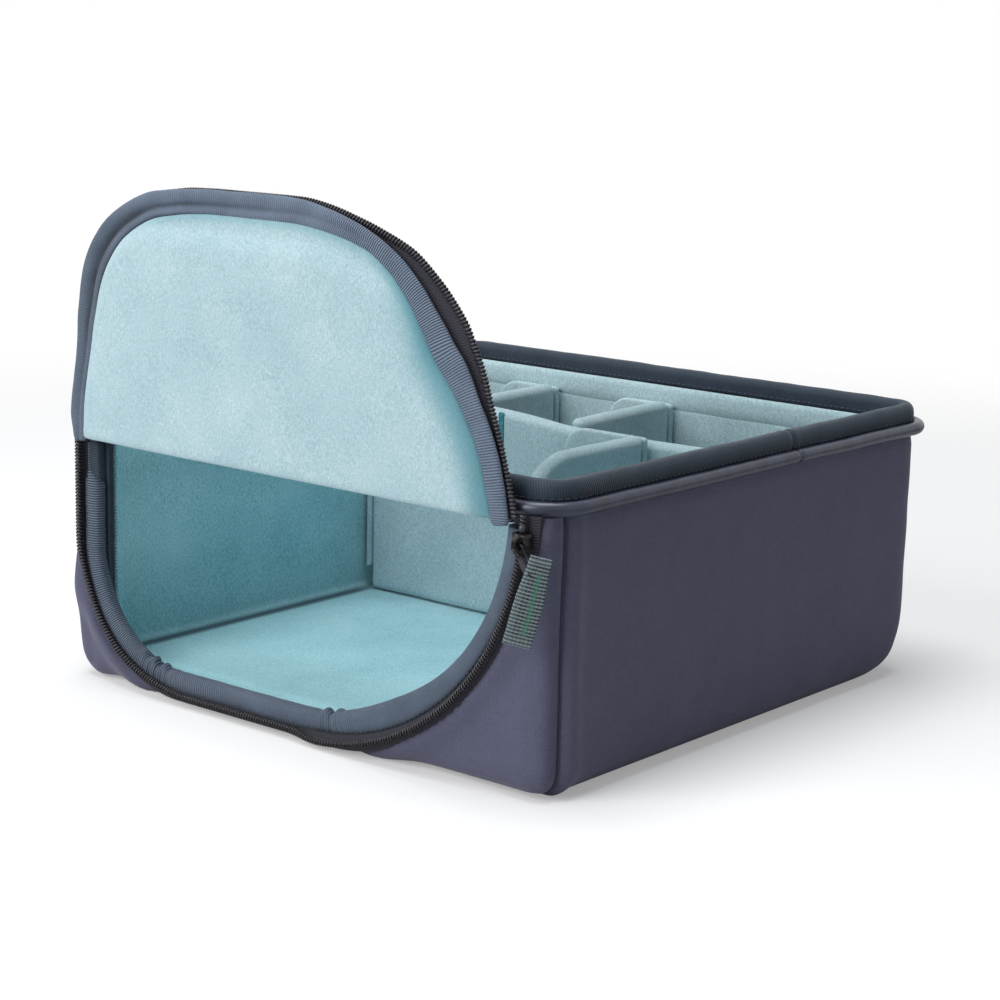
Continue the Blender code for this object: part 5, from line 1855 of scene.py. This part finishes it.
def addBoard(body, run, depth, across, seed, corner, sag):
    made = board(body + "_board", run, divider["height"], depth, across, seed, corner, divider["soft"], sag)
    # the boards wear the paler lit copy of the lining cloth, a painted light
    dress(made, "lit_lining", body, "lining", body + "_divider")


def addTab(body, run, face, across, seed, corner, side=""):
    # an end tab and, behind it, the hook strip that holds it; the face is below zero at the left wall
    d = divider
    sign = math.copysign(1, face)
    behind = face + sign * (d["tabThick"] + d["hookGap"])
    depth = sorted((face, face + sign * d["tabThick"]))
    tab = board(body + "_end" + side, run, d["tabHeight"], depth, across, seed, corner, d["tabSoft"])
    dress(tab, "lit_lining", body, "lining", body + "_tab" + side)
    run = (run[0] + d["hookInset"], run[1] - d["hookInset"])
    depth = sorted((behind, behind + sign * d["hookThick"]))
    small = (2 * mm, 2 * mm)
    hook = board(body + "_grip" + side, run, d["hookHeight"], depth, across, seed + 3, small, d["hookSoft"])
    dress(hook, "hook_strip", body, "hook_strip", body + "_hook" + side)


def crossSag(run):
    share = (run + divider["end"]) / (2 * divider["end"])
    return divider["sag"] * ease(0.30, 0.56, share) * (1 - 0.25 * ease(0.66, 0.95, share))


def lensSag(run):
    return 0.5 * mm


def rearSag(run):
    return 0.6 * mm * np.sin((run + 20 * mm) * math.pi / (110 * mm))


end, tabFace = divider["end"], divider["tabFace"]
addBoard("cross", (-end, end), (44 * mm, 52 * mm), "y", 50, (6 * mm, 6 * mm), crossSag)
addTab("cross", (44 * mm, 92 * mm), -tabFace, "x", 53, (2 * mm, 13 * mm), "_left")
addTab("cross", (44 * mm, 92 * mm), tabFace, "x", 55, (2 * mm, 13 * mm), "_right")
addBoard("lens", (-49.3 * mm, 38.9 * mm), (43 * mm, 51 * mm), "x", 60, (35 * mm, 3 * mm), lensSag)
addTab("lens", (3 * mm, 51 * mm), 39.2 * mm, "y", 63, (13 * mm, 2 * mm))
for body, low, high, seed in (("rear_right", -4 * mm, 4 * mm, 70), ("rear_left", -77 * mm, -69 * mm, 80)):
    addBoard(body, (52.3 * mm, end), (low, high), "x", seed, (3 * mm, 5 * mm), rearSag)
    addTab(body, (high - 40 * mm, high), tabFace, "y", seed + 3, (13 * mm, 2 * mm))
seamStrip = board("cross_seam_strip", (-40.5 * mm, -37.2 * mm), (96 * mm, 113.8 * mm), (43.0 * mm, 44.2 * mm),
    "y", 90, (1 * mm, 1 * mm), 0.1 * mm)
dress(seamStrip, "seam_teal", "cross", "lining")
print("dividers done")

# the cord loop and the woven tab, which hang from the link's lower bar
pullTab = {
    "pin": np.array([132.36, -150.15, 100.52]) * mm,
    "lean": math.radians(17),
    "turn": math.radians(38),
    "top": -6.0 * mm,
    "aside": 8.6 * mm,
    "long": 38.6 * mm,
    "wide": 11.5 * mm,
    "narrower": 2.8 * mm,
    "thick": 1.5 * mm,
    "hem": (2.2 * mm, 3.0 * mm),
    "rows": 150,
    "columns": 40,
    "denseRelief": 0.10 * mm,
    "openRelief": 0.28 * mm,
}

cord = {
    "points": 36,
    "radius": 0.55 * mm,
    "doubled": 2.2,
    "wide": (1.0 * mm, 0.9 * mm),
    "reach": (3.2 * mm, 4.4 * mm),
}


def tabBar():
    return np.array([math.cos(pullTab["lean"]), 0, -math.sin(pullTab["lean"])])


def tabPoints(side, y, down):
    # along the link's bar, front to back, and down the tab
    fall = np.array([-math.sin(pullTab["lean"]), 0, -math.cos(pullTab["lean"])])
    made = pullTab["pin"] + side[..., None] * tabBar() + down[..., None] * fall
    made[..., 1] += y
    return made


def tabCloth():
    t = pullTab
    shares = np.linspace(0, 1, t["rows"]), np.linspace(0, 1, t["columns"])
    rowShare, share = np.meshgrid(*shares, indexing="ij")
    down = t["long"] * rowShare
    low, high = t["hem"]
    hem = 1 - 0.45 * ease(low, high, down) * (1 - ease(t["long"] - high, t["long"] - low, down))
    row = 0.5 + 0.5 * np.cos(math.tau * down / ladder["rowPitch"])
    side = (t["wide"] - t["narrower"] * ease(22 * mm, 0, down)) * (share - 0.5)
    curl = 0.9 * mm * (share - 0.5) ** 2 - 0.5 * mm * np.sin(math.pi * rowShare)
    edge = np.minimum(np.minimum(share, 1 - share), np.minimum(rowShare, 1 - rowShare) * 3)
    thick = t["thick"] / 2 * np.minimum(1.0, 0.35 + edge * 14) * hem
    relief = np.where(share < ladder["edgeShare"], t["denseRelief"], t["openRelief"])
    relief = relief * row * np.minimum(1.0, edge * 20)
    c, s = math.cos(t["turn"]), math.sin(t["turn"])
    sheets = []
    for level in (curl - thick - relief, curl + thick + relief * 0.5):
        turned, deep = side * c - level * s, side * s + level * c
        sheets.append(tabPoints(turned + t["aside"], deep - 1.0 * mm, t["top"] + down))
    return pillow("pull_woven_tab", *sheets, np.stack([down, t["wide"] * share], -1))


def cordLoop():
    # a doubled cord round the bar, drawn together where the tab takes it
    turn = math.tau * np.arange(cord["points"]) / cord["points"]
    wide = cord["wide"][0] + cord["wide"][1] * (0.5 - 0.5 * np.cos(turn))
    reach = cord["reach"][0] - cord["reach"][1] * np.cos(turn)
    points = tabPoints(0.92 * reach, wide * np.sin(turn) - 0.3 * reach, 0.3 * reach)
    tangent = directions(np.roll(points, -1, 0) - np.roll(points, 1, 0))
    side = directions(np.cross(tangent, tabBar()))
    other = np.cross(tangent, side)
    turns = np.radians(np.arange(0, 360, 36))
    ring = np.stack([np.cos(turns), np.sin(turns)], 1) * cord["radius"]
    across, deep = ring[None, :, :1], ring[None, :, 1:] * cord["doubled"]
    grid = points[:, None] + side[:, None] * across + other[:, None] * deep
    uv = clothMap(lengths(points, True), lengths(ring, True))
    return skinned("pull_cord_loop", grid, uv, wrapRows=True)


dress(tabCloth(), "woven_tab", "pull", "woven_tab", "pull_tab")
dress(cordLoop(), "zip_tape", "pull", "zip_tape", "pull_loop")

for name in ("slider_body", "pull_link"):
    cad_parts[name].data.materials.clear()
    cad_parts[name].data.materials.append(finishes["gunmetal"])
for name in ("zip_stop_left", "zip_stop_right"):
    # a small crimped end over the coil's last turns
    low, high = (np.array(corner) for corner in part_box(name))
    middle = (low + high) / 2
    if name == "zip_stop_left":
        middle = middle + np.array([0.8, 2.5, 0.0]) * mm
    turns = np.radians(np.arange(0, 360, 30))
    ring = np.stack([np.cos(turns) * 1.45 * mm, np.sin(turns) * 1.2 * mm], 1)
    shares = np.array([0.75, 1.0, 1.0, 0.75])
    heights = np.array([-1.5, -1.1, 1.1, 1.5]) * mm
    across, deep = np.tile([1.0, 0, 0], (4, 1)), np.tile([0, 1.0, 0], (4, 1))
    route = (middle + np.outer(heights, [0, 0, 1]), across, deep)
    dress(swept(name + "_crimp", route, ring * shares[:, None, None]), "zip_coil", "box", "zip_coil", name)
print("pull done")

# the photograph's view, and a plain pale studio
view = {
    "azimuth": math.radians(39.380),
    "elevation": math.radians(11.865),
    "roll": math.radians(-1.332),
    "distance": 1.13345,
    "shift": (0.00035, -0.08058),
    "focalPixels": 2394.54,
    "framePixels": 1000,
    "sensor": 36,
}

studioLook = {
    "reach": 6.0,
    "low": -0.4 * mm,
    "air": (0.098, 0.102, 0.11, 1),
    "white": (1, 1, 1, 1),
}


def placeCamera():
    a, e, roll = view["azimuth"], view["elevation"], view["roll"]
    right = Vector((math.cos(a), math.sin(a), 0))
    back = Vector((math.sin(a) * math.cos(e), -math.cos(a) * math.cos(e), math.sin(e)))
    up = back.cross(right)
    c, s = math.cos(roll), math.sin(roll)
    turn = Matrix((right * c - up * s, right * s + up * c, back))
    camera = bpy.data.cameras.new("photo_camera")
    camera.lens = view["focalPixels"] * view["sensor"] / view["framePixels"]
    camera.sensor_width = view["sensor"]
    camera.clip_start, camera.clip_end = 0.05, 30
    made = newObject("photo_camera", camera)
    offset = Vector((*view["shift"], -view["distance"]))
    made.matrix_world = Matrix.Translation(-(turn.transposed() @ offset)) @ turn.transposed().to_4x4()
    bpy.context.scene.camera = made


def lamp(name, place, target, size, power, colour):
    light = bpy.data.lights.new(name, "AREA")
    light.shape = "SQUARE"
    light.size = size
    light.energy = power
    light.color = colour
    made = newObject(name, light)
    made.location = place
    made.rotation_euler = (Vector(target) - Vector(place)).to_track_quat("-Z", "Y").to_euler()


def studio():
    ground = bpy.data.meshes.new("studio_ground")
    reach, low = studioLook["reach"], studioLook["low"]
    corners = [(-reach, -reach, low), (reach, -reach, low), (reach, reach, low), (-reach, reach, low)]
    ground.from_pydata(corners, [], [(0, 1, 2, 3)])
    floor = newObject("studio_ground", ground)
    floor.data.materials.append(studioFloor())
    world = bpy.data.worlds.new("studio_air")
    bpy.context.scene.world = world
    world.use_nodes = True
    bench = Wire(world.node_tree)
    sky = world.node_tree.nodes["Background"]
    ray = bench.node("ShaderNodeLightPath")
    seen = (ray.out("Is Camera Ray") + ray.out("Is Glossy Ray") + ray.out("Is Transmission Ray")).clip()
    tone = seen.between(studioLook["air"], studioLook["white"])
    world.node_tree.links.new(tone.socket, sky.inputs["Color"])
    sky.inputs["Strength"].default_value = 1.0
    lamp("key_lamp", (-0.5, -1.7, 0.95), (0, 0, 0.08), 1.3, 27, (1.0, 0.985, 0.97))
    lamp("top_lamp", (-0.1, -0.2, 1.9), (0, 0, 0.05), 1.2, 26, (0.98, 0.99, 1.0))


placeCamera()
studio()
bpy.context.scene.view_settings.view_transform = "Standard"
print("studio done")
